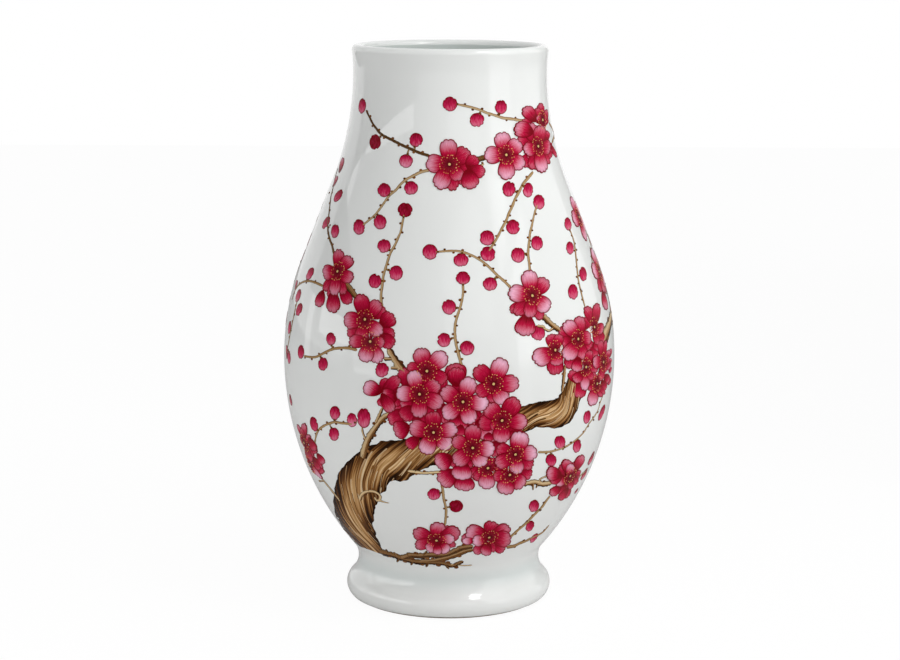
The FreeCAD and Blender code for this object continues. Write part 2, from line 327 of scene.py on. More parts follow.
def calculate(tree, operation, values, place, clamp=False):
    made = node(tree, "ShaderNodeMath", place, operation=operation, use_clamp=clamp)
    fill(tree, made.inputs, values)
    return made.outputs[0]


def dot(tree, first, second, place):
    made = node(tree, "ShaderNodeVectorMath", place, operation="DOT_PRODUCT")
    fill(tree, made.inputs, (first, second))
    return made.outputs["Value"]


def mix_shaders(tree, share, first, second, output):
    """Two shaders, mixed and led to the output of their tree."""
    mixed = node(tree, "ShaderNodeMixShader", (100, 0))
    fill(tree, mixed.inputs, (share, first.outputs[0], second.outputs[0]))
    node(tree, output, (300, 0), Surface=mixed.outputs[0])


# %% [markdown]
# The room: a pale floor, a white background and soft lamps.
# The photograph was taken in a light tent. Its marks on the glaze are the tent's: a bright upright
# strip right of the middle, fainter strips at the left, and a slow fall from right to left. The
# tent's own light comes mostly from the right and from below, off the white table.

# %% The room's light
ROOM_LIGHT, ROOM_FALL = 0.82, 0.6
FROM_RIGHT_AND_BELOW = (0.5, 0.0, -0.86)
world = bpy.data.worlds.new("tent")
world.use_nodes = True
scene.world = world
tree = world.node_tree
tree.nodes.clear()
path = node(tree, "ShaderNodeLightPath", (-700, 0)).outputs
seen = calculate(tree, "ADD", (path["Is Camera Ray"], path["Is Glossy Ray"]), (-500, 60), True)
shown = calculate(tree, "ADD", (seen, path["Is Transmission Ray"]), (-300, 30), True)
way = node(tree, "ShaderNodeTexCoord", (-900, 300)).outputs["Generated"]
facing = dot(tree, way, FROM_RIGHT_AND_BELOW, (-700, 300))
level = calculate(
    tree, "MULTIPLY_ADD", (facing, ROOM_FALL * ROOM_LIGHT, ROOM_LIGHT), (-500, 300)
)
room = node(tree, "ShaderNodeBackground", (-100, 100), Color=grey(1), Strength=level)
white = node(tree, "ShaderNodeBackground", (-100, -60), Color=grey(1), Strength=1.0)
mix_shaders(tree, shown, room, white, "ShaderNodeOutputWorld")
print("nodes that make the room:", len(tree.nodes))


# %% [markdown]
# The floor is white paper that keeps the vase's soft shadow. Most of what the camera sees of it is
# its own even white; the rest is light that falls on it, which the vase can hold back.

# %% The floor
def new_material(name):
    made = bpy.data.materials.new(name)
    made.use_nodes = True
    made.node_tree.nodes.clear()
    return made, made.node_tree


def sheet(name, corners, material):
    """A flat sheet of the room, with one material."""
    mesh = bpy.data.meshes.new(name)
    mesh.from_pydata(corners, [], [(0, 1, 2, 3)])
    mesh.materials.append(material)
    made = bpy.data.objects.new(name, mesh)
    scene.collection.objects.link(made)
    return made


FLOOR_REACH = 3.0
FLOOR_OWN, FLOOR_FAINT, FLOOR_PLAIN = 0.95, 0.06, 0.8
paper, tree = new_material("paper")
floor = sheet(
    "floor",
    [(x * FLOOR_REACH, y * FLOOR_REACH, 0) for x, y in ((-1, -1), (1, -1), (1, 1), (-1, 1))],
    paper,
)
path = node(tree, "ShaderNodeLightPath", (-600, 200)).outputs
plain = node(tree, "ShaderNodeBsdfDiffuse", (-300, -100), Color=grey(FLOOR_PLAIN))
faint = node(tree, "ShaderNodeBsdfDiffuse", (-300, 100), Color=grey(FLOOR_FAINT))
own = node(tree, "ShaderNodeEmission", (-300, 250), Color=grey(1), Strength=FLOOR_OWN)
lit = node(tree, "ShaderNodeAddShader", (-100, 200))
fill(tree, lit.inputs, (own.outputs[0], faint.outputs[0]))
mix_shaders(tree, path["Is Camera Ray"], plain, lit, "ShaderNodeOutputMaterial")
print("floor, m across:", 2 * FLOOR_REACH)


# %% [markdown]
# A lamp is a soft box with its place, the place that it faces, its width, its height and its power
# in watts. Two felt cards outside the view hold light back, from the left of the neck and from the
# right edge of the belly.

# %% Lamps and cards
def lamp(name, place, target, width, height, power):
    data = bpy.data.lights.new(name, "AREA")
    data.shape, data.size, data.size_y, data.energy = "RECTANGLE", width, height, power
    made = bpy.data.objects.new(name, data)
    made.location = place
    made.rotation_euler = (Vector(target) - Vector(place)).to_track_quat("-Z", "Y").to_euler()
    scene.collection.objects.link(made)


def card(name, first, last, bottom, top, shade):
    """An upright card outside the view, between two places on the floor."""
    felt = bpy.data.materials.new(name)
    felt.use_nodes = True
    felt.node_tree.nodes["Principled BSDF"].inputs["Base Color"].default_value = grey(shade)
    made = sheet(name, [(*first, bottom), (*last, bottom), (*last, top), (*first, top)], felt)
    made.visible_camera = False


MIDDLE = (0, 0, 0.18)
card("card_left", (-0.42, -0.6), (-0.42, 0.2), 0.25, 0.37, 0.55)
card("card_behind_right", (0.40, 0.25), (0.62, 1.4), 0.0, 0.80, 0.6)
lamp("right_strip", (0.30, -0.28, 0.38), (0, 0, 0.38), 0.07, 0.75, 0.07)
lamp("right_box", (1.5, -0.9, 0.58), (0, 0, 0.58), 0.8, 1.12, 2.6)
lamp("left_strip", (-1.07, 0.43, 0.6), MIDDLE, 0.16, 1.4, 0.55)
lamp("top", (0.9, -0.5, 1.35), MIDDLE, 1.0, 1.0, 3.4)
lamp("left_low", (-1.0, -0.2, 0.14), (-0.05, -0.05, 0.14), 0.25, 0.15, 0.06)
lamp("mouth", (0.35, -0.35, 0.80), (-0.04, 0.06, 0.33), 0.15, 0.15, 0.75)
lamp("left_box", (-1.5, -0.5, 0.45), (0, 0, 0.25), 1.8, 0.5, 3.8)
lamp("left_spark", (-0.33, -0.26, 0.15), (-0.04, -0.04, 0.03), 0.13, 0.08, 0.03)
lamp("front", (0.6, -2.4, 1.2), MIDDLE, 1.6, 1.2, 3.0)
print("lamps and their power, W:", {data.name: round(data.energy, 2) for data in bpy.data.lights})

# %% [markdown]
# How a surface is put together.
# Each finish here is one Principled shader. Its colour is mixed from slow noise, and a bump from
# finer noise breaks the gloss a little. Geometry could carry such detail too, but it would take
# millions of faces. A shader group holds an effect that several finishes share.

# %% Fades, noise and mixes
MIX_SOCKETS = 0, 6, 7  # A colour mix takes its share and its two colours here


def fade(tree, source, start, end, most, place):
    """A smooth rise from 0, where the source is at start, to the most, where it is at end."""
    made = node(tree, "ShaderNodeMapRange", place, interpolation_type="SMOOTHSTEP")
    fill(tree, made.inputs, (source, start, end, 0.0, most))
    return made.outputs[0]


def noise(tree, where, scale, detail, roughness, place):
    made = node(
        tree, "ShaderNodeTexNoise", place, Vector=where, Scale=scale, Detail=detail,
        Roughness=roughness,
    )
    return made.outputs["Fac"]


def mix_colours(tree, share, first, second, place):
    made = node(tree, "ShaderNodeMix", place, data_type="RGBA")
    fill(tree, [made.inputs[number] for number in MIX_SOCKETS], (share, first, second))
    return made.outputs[2]


def finish_material(tree, paint, height, surface, **own):
    """A Principled surface: its colour, its fine height, and then how rough it is, how strongly
    the height is felt and how high it stands."""
    roughness, depth, distance = surface
    bump = node(
        tree, "ShaderNodeBump", (250, -300), Strength=depth, Distance=distance, Height=height
    )
    finish = {"Base Color": paint, "Roughness": roughness, "Normal": bump.outputs[0], **own}
    skin = node(tree, "ShaderNodeBsdfPrincipled", (500, 0), **finish)
    node(tree, "ShaderNodeOutputMaterial", (800, 0), Surface=skin.outputs[0])


def new_group(name, colours, values):
    """A shader group that takes colours and values, and gives a colour and a fine height."""
    made = bpy.data.node_groups.new(name, "ShaderNodeTree")
    for socket in colours:
        made.interface.new_socket(socket, in_out="INPUT", socket_type="NodeSocketColor")
    for socket in values:
        made.interface.new_socket(socket, in_out="INPUT", socket_type="NodeSocketFloat")
    made.interface.new_socket("Color", in_out="OUTPUT", socket_type="NodeSocketColor")
    made.interface.new_socket("Height", in_out="OUTPUT", socket_type="NodeSocketFloat")
    return made


print("materials so far:", [made.name for made in bpy.data.materials])

# %% [markdown]
# Clay and slip.
# Fired porcelain body is white and a little rough, like eggshell. It shows on the foot rim alone,
# where the potter wipes the glaze away, and there the kiln leaves a thin rust-brown line. Slip is
# the same clay with water, a touch greyer, and it never shows. A noise at clay's own grain keeps
# both from looking like plastic. Clay and slip share all this, so it is a group with two tones.

# %% Fired clay, as a group
RIM_STAIN, STAIN_SHARE, STAIN_BROWN = 2.2 * MM, 0.85, colour(134, 108, 84)
CLAY_GRAIN, CLAY_CLOUD = (2600.0, 6.0, 0.7), (45.0, 3.0, 0.5)


def clay_recipe():
    tree = new_group("fired_clay", ("White", "Speck"), ())
    given = node(tree, "NodeGroupInput", (-650, 300)).outputs
    place = node(tree, "ShaderNodeNewGeometry", (-900, 0)).outputs["Position"]
    grain = noise(tree, place, *CLAY_GRAIN, (-650, -150))
    cloud = noise(tree, place, *CLAY_CLOUD, (-650, 150))
    body = mix_colours(tree, cloud, given["White"], given["Speck"], (-350, 150))
    height = node(tree, "ShaderNodeSeparateXYZ", (-650, 400), Vector=place).outputs["Z"]
    stain = fade(tree, height, RIM_STAIN * 2, RIM_STAIN, STAIN_SHARE, (-400, 400))
    stained = mix_colours(tree, stain, body, STAIN_BROWN, (-100, 200))
    node(tree, "NodeGroupOutput", (150, 0), Color=stained, Height=grain)
    return tree


fired_clay = clay_recipe()
print("nodes in fired clay:", len(fired_clay.nodes))

# %% Clay and slip on the CAD model
CLAY_SURFACE = 0.62, 0.25, 0.04 * MM


def clay_material(name, white, speck):
    made, tree = new_material(name)
    body = node(
        tree, "ShaderNodeGroup", (0, 0), node_tree=fired_clay, White=white, Speck=speck
    ).outputs
    finish_material(tree, body["Color"], body["Height"], CLAY_SURFACE)
    return made


clay_finish = clay_material("biscuit", colour(236, 233, 226), colour(226, 222, 213))
slip_finish = clay_material("slip", colour(222, 220, 213), colour(208, 205, 196))
for name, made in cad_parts.items():
    made.data.materials.clear()
    made.data.materials.append(slip_finish if name.endswith("_slip") else clay_finish)
print("clay finishes on", len(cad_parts), "CAD nodes")

# %% [markdown]
# Glaze.
# Clear feldspar glaze over white clay: very smooth, with the faintest ripple, and a breath of blue
# where it pools in the groove above the foot. It is a coat with its own thickness, so it is a
# closed shell over the clay: down the outside, over the lip, down the inside and across the floor.
# A second shell coats the hollow under the foot.

# %% A shell turned round the axis
ROUND_STEPS, ON_AXIS = 160, 1e-6


def fixed_to_vase(name, mesh):
    """A mesh as a visible piece on the vase's one body."""
    made = bpy.data.objects.new(name, mesh)
    scene.collection.objects.link(made)
    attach(made, "root")
    return made


def turned_shell(name, loop, round_steps):
    """A closed mesh turned from (radius, height) points. A point on the axis is shared."""
    angles = np.linspace(0, TURN, round_steps, endpoint=False)
    vertices, rows = [], []
    for radius, height in loop:
        if radius < ON_AXIS:
            rows.append([len(vertices)] * round_steps)
            vertices.append((0.0, 0.0, height))
            continue
        rows.append(list(range(len(vertices), len(vertices) + round_steps)))
        vertices += [(radius * math.sin(a), -radius * math.cos(a), height) for a in angles]
    faces = []
    for first, second in zip(rows, rows[1:] + rows[:1]):
        for step in range(round_steps):
            beside = (step + 1) % round_steps
            corners = [first[step], second[step], second[beside], first[beside]]
            corners = list(dict.fromkeys(corners))
            if len(corners) > 2:
                faces.append(corners)
    mesh = bpy.data.meshes.new(name)
    mesh.from_pydata(vertices, [], faces)
    mesh.polygons.foreach_set("use_smooth", [True] * len(mesh.polygons))
    mesh.update()
    return fixed_to_vase(name, mesh)


print("a step round the belly, mm:", round(TURN * BELLY_RADIUS / ROUND_STEPS / MM, 1))

# %% The glaze's two shells
glaze_out, glaze_in = outside(GLAZE, GLAZE_END)[0], inside(GLAZE)[0]
clay_out, clay_in = outside(0.0, GLAZE_END)[0], inside(0.0)[0]
over_glaze = np.concatenate([glaze_out[::-1], glaze_in[1:]])
under_glaze = np.concatenate([clay_out[::-1], clay_in[1:]])
last_row = len(under_glaze) - 2
HIDDEN_EVERY = 4  # The side against the clay is never seen, so it keeps every fourth row
hidden_rows = np.unique(np.append(np.arange(0, last_row + 1, HIDDEN_EVERY), last_row))
coat_loop = np.concatenate([over_glaze, under_glaze[hidden_rows][::-1]])
glaze_coat = turned_shell("glaze_coat", coat_loop, ROUND_STEPS)

RECESS_END, RECESS_STEPS = 3 * MM, 96
recess_wall = FOOT_RADIUS - FOOT_BEAD - RIM_WIDTH - RIM_BEVEL
recess_slope = RECESS_TAPER / (RECESS_DEPTH - RIM_BEVEL)
end_radius = recess_wall - (RECESS_END - RIM_BEVEL) * recess_slope
top_radius = recess_wall - RECESS_TAPER
coat_height = RECESS_DEPTH - GLAZE
under_foot = [(end_radius - GLAZE, RECESS_END), (top_radius - GLAZE, coat_height), (0, coat_height)]
under_foot += [(0, RECESS_DEPTH), (top_radius, RECESS_DEPTH), (end_radius, RECESS_END)]
glaze_recess = turned_shell("glaze_recess", under_foot, RECESS_STEPS)
print("glaze faces:", len(glaze_coat.data.polygons), len(glaze_recess.data.polygons))


# %% The glaze's look
GLAZE_WHITE, GLAZE_DRIFT = colour(236, 238, 236), colour(232, 234, 232)
# The inside colour is painted shade: a darker tint for the glaze on the walls inside the vase.
GLAZE_POOL, GLAZE_INSIDE_SHADE = colour(206, 216, 214), colour(212, 219, 216)
POOL_HEIGHT, POOL_WIDTH, POOL_SHARE = 24.0 * MM, 9.0 * MM, 0.5
WALL_TURNS = -0.05
DRIFT_NOISE, RIPPLE_NOISE = (9.0, 2.0, 0.5), (55.0, 2.0, 0.4)
GLAZE_SURFACE = 0.035, 0.06, 0.4 * MM
GLAZE_SHINE = {"IOR": 1.5, "Coat Weight": 0.3, "Coat Roughness": 0.02}


def glaze_material():
    """The glaze's colours, with painted shade on walls that face the axis, inside the vase."""
    made, tree = new_material("glaze")
    place = node(tree, "ShaderNodeNewGeometry", (-1000, 0)).outputs
    height = node(tree, "ShaderNodeSeparateXYZ", (-800, 200), Vector=place["Position"])
    drift = noise(tree, place["Position"], *DRIFT_NOISE, (-800, -100))
    ripple = noise(tree, place["Position"], *RIPPLE_NOISE, (-800, -350))
    away = calculate(tree, "SUBTRACT", (height.outputs["Z"], POOL_HEIGHT), (-600, 250))
    away = calculate(tree, "ABSOLUTE", (away,), (-450, 250))
    pool = fade(tree, away, POOL_WIDTH, 0.0, POOL_SHARE, (-300, 250))
    clear = mix_colours(tree, drift, GLAZE_WHITE, GLAZE_DRIFT, (-300, 0))
    outward = dot(tree, place["Position"], place["Normal"], (-800, 420))
    # Painted shade: walls that face the axis, inside the vase, are mixed towards the darker inside
    # tint.
    inside_shade_share = fade(tree, outward, 0.0, WALL_TURNS, 1.0, (-450, 420))
    pooled = mix_colours(tree, pool, clear, GLAZE_POOL, (-50, 100))
    shaded_inside = mix_colours(tree, inside_shade_share, pooled, GLAZE_INSIDE_SHADE, (150, 150))
    finish_material(tree, shaded_inside, ripple, GLAZE_SURFACE, **GLAZE_SHINE)
    return made


glaze_finish = glaze_material()
for made in (glaze_coat, glaze_recess):
    made.data.materials.append(glaze_finish)
print("nodes in the glaze:", len(glaze_finish.node_tree.nodes))

# %% [markdown]
# How enamel is laid.
# Overglaze enamel is ground glass in oil. It is brushed on the fired glaze and fused at a low heat,
# so each stroke is a thin raised pad with a soft edge. A pad here is drawn flat on a patch of map:
# rings of points that close in from its edge, a low dome and a skirt that sinks into the glaze.
# Colour depends on where a point lies within its own stroke, so each point carries that with it.

# %% A piece of enamel
SHARP_ANGLE = math.radians(40)
SHEET_GAP, SHEET_SPARE = 0.8 * MM, 1.1
FACTS = ("along", "across", "edge", "tone", "seed")


class Enamel:
    """Pads that are fused into one piece, with the facts that their colours need."""

    def __init__(self, name):
        self.name = name
        self.vertices, self.faces, self.flat = [], [], []
        self.facts = {fact: [] for fact in FACTS}

    def add(self, points, faces, flat, facts):
        """A pad: its points in space, its faces, its flat drawing and its facts."""
        first = sum(len(block) for block in self.vertices)
        self.vertices.append(points)
        self.faces += [[corner + first for corner in face] for face in faces]
        self.flat.append(np.asarray(flat, dtype=float))
        for fact in FACTS:
            value = facts.get(fact, 0.0)
            self.facts[fact].append(np.broadcast_to(np.asarray(value, dtype=float), (len(points),)))

    def build(self, finish):
        mesh = bpy.data.meshes.new(self.name)
        mesh.from_pydata(np.concatenate(self.vertices).tolist(), [], self.faces)
        mesh.polygons.foreach_set("use_smooth", [True] * len(mesh.polygons))
        mesh.set_sharp_from_angle(angle=SHARP_ANGLE)
        for fact in FACTS:
            layer = mesh.attributes.new(fact, "FLOAT", "POINT")
            layer.data.foreach_set("value", np.concatenate(self.facts[fact]).astype(np.float32))
        self.unfold(mesh)
        mesh.materials.append(finish)
        fixed_to_vase(self.name, mesh)
        print(self.name, len(self.flat), "pads,", len(self.faces), "faces")

    def unfold(self, mesh):
        """The flat drawings side by side on one sheet, in rows, for a bake of the colours."""
        sizes = [np.ptp(flat, axis=0) + SHEET_GAP for flat in self.flat]
        order = sorted(range(len(sizes)), key=lambda index: -sizes[index][1])
        area = sum(wide * high for wide, high in sizes)
        sheet_width = max(math.sqrt(area) * SHEET_SPARE, max(wide for wide, _ in sizes))
        across = up = row = 0.0
        places = {}
        for index in order:
            if across + sizes[index][0] > sheet_width:
                across, up, row = 0.0, up + row, 0.0
            places[index] = np.array([across, up])
            across += sizes[index][0]
            row = max(row, sizes[index][1])
        total = np.array([sheet_width, up + row])
        spots = [
            (flat - flat.min(axis=0) + SHEET_GAP / 2 + places[index]) / total
            for index, flat in enumerate(self.flat)
        ]
        corners = np.empty(len(mesh.loops), dtype=np.int32)
        mesh.loops.foreach_get("vertex_index", corners)
        layer = mesh.uv_layers.new(name="OFBake")
        layer.data.foreach_set("uv", np.concatenate(spots)[corners].astype(np.float32).ravel())


print("what a stroke's points carry:", ", ".join(FACTS))

# %% One pad
PROUD, DOME, LAYER, SINK = 0.05 * MM, 0.03 * MM, 0.04 * MM, 0.05 * MM
SKIRT_SPREAD = 0.3 * MM
PAD_RINGS = (1.0, 0.93, 0.74, 0.5, 0.25)
EDGE_RISE, EDGE_START = 9, 0.5


def pad(enamel, rim, centre, frame_at, level, rings=PAD_RINGS, dome=DOME, **facts):
    """A pad from its rim, a closed line of flat points, to its centre. frame_at turns flat points
    into map places. A fact is a function of flat points, or one value."""
    count = len(rim)
    flat = np.concatenate([centre + share * (rim - centre) for share in rings] + [centre[None, :]])
    ring_of = np.concatenate([np.full(count, share) for share in rings] + [[0.0]])
    lift = PROUD + level * LAYER + dome * (1 - ring_of**2)
    outward = rim - centre
    outward = outward / np.linalg.norm(outward, axis=1)[:, None]
    skirt = rim + outward * SKIRT_SPREAD
    points = np.concatenate([wrap(*frame_at(flat), lift), wrap(*frame_at(rim), -SINK)])
    faces = []
    for ring in range(len(rings) - 1):
        for step in range(count):
            beside = (step + 1) % count
            a, b = ring * count, (ring + 1) * count
            faces.append([a + step, a + beside, b + beside, b + step])
    last, tip, base = (len(rings) - 1) * count, len(rings) * count, len(rings) * count + 1
    for step in range(count):
        beside = (step + 1) % count
        faces.append([last + step, last + beside, tip])
        faces.append([base + step, base + beside, beside, step])
    drawn = np.concatenate([flat, rim])
    inwards = np.clip((1 - ring_of) * EDGE_RISE - EDGE_START, 0, 1)
    values = {"edge": np.concatenate([inwards, np.zeros(count)])}
    for fact, value in facts.items():
        values[fact] = value(drawn) if callable(value) else value
    enamel.add(points, faces, np.concatenate([flat, skirt]), values)


print("enamel stands proud by, mm:", PROUD / MM, "and each layer adds", LAYER / MM)


# %% Patches of the map
def patch_at(angle, run):
    """A patch of map round one place: x to the right and y up, both in metres."""

    def frame_at(flat):
        runs = run - flat[..., 1]
        return angle + flat[..., 0] / radius_at(runs), runs

    return frame_at


def place_of(pixel):
    """The map place of one pixel of the picture."""
    angles, runs = onto_vase(pixel)
    return angles[0], runs[0]


def flat_from(angle, run, places):
    """The flat points, in the patch round one place, of other map places."""
    angles, runs = places
    return np.stack([(angles - angle) * radius_at(runs), run - runs], axis=-1)


middle = place_of((450, 360))
beside = flat_from(*middle, onto_vase((460, 360)))[0]
print("ten pixels beside the middle are, mm on the wall:", (beside / MM).round(1))

# %% [markdown]
# Petals.
# A petal is one loaded dab: deep red at its root, let out with water towards a paler tip, then
# edged with a fine dark line. On the patch of map it is a rounded shape with a few shallow scallops
# at its tip. It is drawn between its root and its tip, so a leaning petal stays whole round the
# wall.

# %% Which stroke lies over which
seeds = random.Random(41)
PIXEL, OVERLAP, STREAK_PLACES = 0.61 * MM, 0.85, (0, 40)
laid = []


def new_seed():
    """Where in its noise a stroke takes its streaks."""
    return seeds.uniform(*STREAK_PLACES)


def level_over(angle, run, reach, least):
    """One level above the highest pad laid here, so that strokes lie over each other."""
    level = least
    for other_angle, other_run, other_reach, other_level in laid:
        gap = math.hypot((angle - other_angle) * radius_at(run), run - other_run)
        if gap < OVERLAP * (reach + other_reach):
            level = max(level, other_level + 1)
    laid.append((angle, run, reach, level))
    return level


print("a pixel of the picture is, mm on the wall:", round(PIXEL / MM, 2))

# %% Dabs, each on its side of the vase
LONGEST_DAB, WIDEST_SHARE, TURNED_AWAY = 17 * MM, 0.52, 0.42
WIDEST_AT = 0.62


def axes_from(base, tip, width):
    """A root's map place, and the flat directions from it to the tip and to one side. At the edge
    of the view a pixel covers much of the wall, so a dab keeps a dab's proportions there."""
    base, tip = np.array(base, dtype=float), np.array(tip, dtype=float)
    ahead = tip - base
    side = np.array([-ahead[1], ahead[0]]) / np.hypot(*ahead) * width / 2
    middle = base + WIDEST_AT * ahead
    angles, runs = onto_vase([base, tip, middle + side, middle - side])
    flat = flat_from(angles[0], runs[0], (angles, runs))
    ahead, across = flat[1], (flat[2] - flat[3]) / 2
    if math.cos(angles.mean()) < TURNED_AWAY:
        unfolded = np.array([PIXEL / TURNED_AWAY, -PIXEL])
        ahead, across = (tip - base) * unfolded, side * unfolded
    ahead = ahead * min(1, LONGEST_DAB / np.hypot(*ahead))
    across = across * min(1, WIDEST_SHARE * np.hypot(*ahead) / np.hypot(*across))
    return (angles[0], runs[0]), ahead, across


class Side:
    """Where a drawing goes: on the front as the photograph shows it, or turned round the axis, and
    lowered."""

    def __init__(self, degrees, lower=0.0):
        self.turn, self.lower = math.radians(degrees), lower

    def place(self, angle, run):
        return angle + self.turn, run + self.lower


def dab(enamel, side, axes, along, sideways, rings, tone, least):
    """A domed pad whose rim is given as shares of its length and of its half width."""
    root, ahead, across = axes
    angle, run = side.place(*root)
    rim = along[:, None] * ahead + sideways[:, None] * across
    middle = angle + ahead[0] / 2 / radius_at(run), run - ahead[1] / 2
    level = level_over(*middle, np.hypot(*ahead) / 2, least)
    back = np.linalg.inv(np.stack([ahead, across]))
    pad(
        enamel, rim, 0.5 * ahead, patch_at(angle, run), level, rings,
        along=lambda flat: (flat @ back)[:, 0], across=lambda flat: (flat @ back)[:, 1],
        tone=tone, seed=new_seed(),
    )


_, length, half_width = axes_from((450, 360), (450, 340), 16)
print("a dab of 20 by 16 pixels, mm:", (np.hypot(*length) / MM).round(1), "by",
      (2 * np.hypot(*half_width) / MM).round(1))

# %% A petal
FULLNESS, DARKEST_PETAL, PETAL_CORNERS = 1.19, 0.38, 54
PETAL_RINGS = (1.0, 0.94, 0.87, 0.62, 0.32)
NOTCHES, NOTCH_WIDTH = ((-0.8, -0.4), (-0.2, 0.2), (0.4, 0.85)), 0.09
NOTCH_DEPTHS, RIPPLE, RIPPLES, ANY_TURN = (0.06, 0.13), 0.012, 5, (0, 6)
TIP_CROWDING, PETAL_MIDDLE, PETAL_HALF = 0.5, 0.51, 0.50
EVENLY_WIDE, WIDER_AT_TIP = 0.86, 0.26


def petal(enamel, side, base, tip, width, tone, least):
    """A dab from its root to its tip, narrow at the root and scalloped at the tip."""
    axes = axes_from(base, tip, width)
    even = np.linspace(-math.pi, math.pi, PETAL_CORNERS, endpoint=False)
    turn = even - TIP_CROWDING * np.sin(even)
    wave = 1 + RIPPLE * np.cos(RIPPLES * turn + seeds.uniform(*ANY_TURN))
    for notch in [seeds.uniform(*span) for span in NOTCHES]:
        wave -= seeds.uniform(*NOTCH_DEPTHS) * np.exp(-(((turn - notch) / NOTCH_WIDTH) ** 2))
    along = PETAL_MIDDLE + PETAL_HALF * np.cos(turn) * wave
    sideways = FULLNESS * np.sin(turn) * (EVENLY_WIDE + WIDER_AT_TIP * np.cos(turn)) * wave
    dab(enamel, side, axes, along, sideways, PETAL_RINGS, max(tone, DARKEST_PETAL), least)


print("points in a petal:", PETAL_CORNERS * (len(PETAL_RINGS) + 1) + 1)


# %% [markdown]
# Stamens.
# Plum stamens are drawn with a needle: a dark eye, fine maroon threads and a loose ring of gold
# dots round it, with a few dots further in, and a yellow pistil on the eye. Each is its own raised
# stroke.

# %% Dots and slivers
SPOT_DOME, SPOT_RINGS, SPOT_CORNERS = 0.03 * MM, (1.0, 0.6), 9
SLIVER_DOME, SLIVER_RINGS, NOTHING = 0.02 * MM, (1.0, 0.5), 1e-9
SLIVER_SHARES = np.array([0, 0.2, 0.5, 0.8, 1.0])
SLIVER_SWELL = np.array([0.3, 0.8, 1.0, 0.8, 0.25])


def spot(
    enamel, side, place, offset, size, level, tone=0.5, squash=1.0, corners=SPOT_CORNERS
):
    """A small domed dot at a flat offset from a map place."""
    turn = np.linspace(0, TURN, corners, endpoint=False)
    centre = np.array(offset, dtype=float)
    rim = centre + size * np.stack([np.cos(turn), squash * np.sin(turn)], axis=1)
    pad(
        enamel, rim, centre, patch_at(*side.place(*place)), level, SPOT_RINGS, SPOT_DOME,
        tone=tone, seed=new_seed(), along=0.5,
    )


def sliver(enamel, side, place, first, last, width, level):
    """A thin straight stroke, tapered to both ends, between two flat offsets."""
    ahead = last - first
    across = np.array([-ahead[1], ahead[0]]) / max(np.hypot(*ahead), NOTHING) * width / 2
    middle = first + SLIVER_SHARES[:, None] * ahead
    swell = SLIVER_SWELL[:, None] * across
    rim = np.concatenate([middle + swell, (middle - swell)[::-1]])
    back = np.linalg.inv(np.stack([ahead, across]))
    pad(
        enamel, rim, (first + last) / 2, patch_at(*side.place(*place)), level, SLIVER_RINGS,
        SLIVER_DOME, along=lambda flat: ((flat - first) @ back)[:, 0], tone=0.5,
        seed=new_seed(),
    )


print("points in a dot:", SPOT_CORNERS * (len(SPOT_RINGS) + 1) + 1)

# %% A blossom's stamens
EYE, PISTIL, EYE_LEVEL, EYE_CORNERS = 2.7 * PIXEL, 1.35 * PIXEL, 5, 14
RING, RING_REACH, THREADS, DOTS, INNER_DOT = 9.2 * PIXEL, 0.8, 22, 26, 4
THREAD_STRAY, DOT_STRAY, DOT_CORNERS = (-0.3, 0.3), (-0.2, 0.2), 7
THREAD_START, THREAD_WIDTH, THREAD_ENDS = 2.0 * PIXEL, 0.5 * MM, (0.75, 1.0)
DOTS_ON_RING, DOTS_WITHIN, DOT_SIZES = (0.94, 1.06), (0.68, 0.8), (0.44, 0.64)


def stamens(kit, side, centre):
    """A blossom's eye, threads and dots at a pixel of the picture."""
    place = place_of(centre)
    eye_level = level_over(*side.place(*place), RING * RING_REACH, EYE_LEVEL)
    spot(kit["centres"], side, place, (0, 0), EYE, eye_level, corners=EYE_CORNERS)
    for step in range(THREADS):
        turn = TURN * (step + seeds.uniform(*THREAD_STRAY)) / THREADS
        out = np.array([math.cos(turn), math.sin(turn)])
        far = RING * seeds.uniform(*THREAD_ENDS)
        first, last = THREAD_START * out, far * out
        sliver(kit["threads"], side, place, first, last, THREAD_WIDTH, eye_level + 1)
    for step in range(DOTS):
        turn = TURN * (step + seeds.uniform(*DOT_STRAY)) / DOTS
        far = RING * seeds.uniform(*(DOTS_ON_RING if step % INNER_DOT else DOTS_WITHIN))
        offset = far * np.array([math.cos(turn), math.sin(turn)])
        size = seeds.uniform(*DOT_SIZES) * PIXEL
        tone, level = seeds.random(), eye_level + 2
        spot(kit["anthers"], side, place, offset, size, level, tone, corners=DOT_CORNERS)
    spot(kit["pistils"], side, place, (0, 0), PISTIL, eye_level + 2)


print("strokes in one eye:", THREADS + DOTS + 2, "across, mm:", round(2 * RING / MM, 1))

# %% [markdown]
# Buds.
# A bud on the real vase is one round touch of red that darkens away from its stalk. A ball would
# stand too proud of the wall, so a bud is a dab like a petal, only rounder.

# %% A bud
BUD_RINGS, BUD_LEVEL, BUD_CORNERS = (1.0, 0.93, 0.85, 0.58, 0.3), 2, 56
BUD_NOTCHES, BUD_NOTCH_WIDTH, BUD_RIPPLES, BUD_OVALNESS = 5, 0.12, 7, 0.02


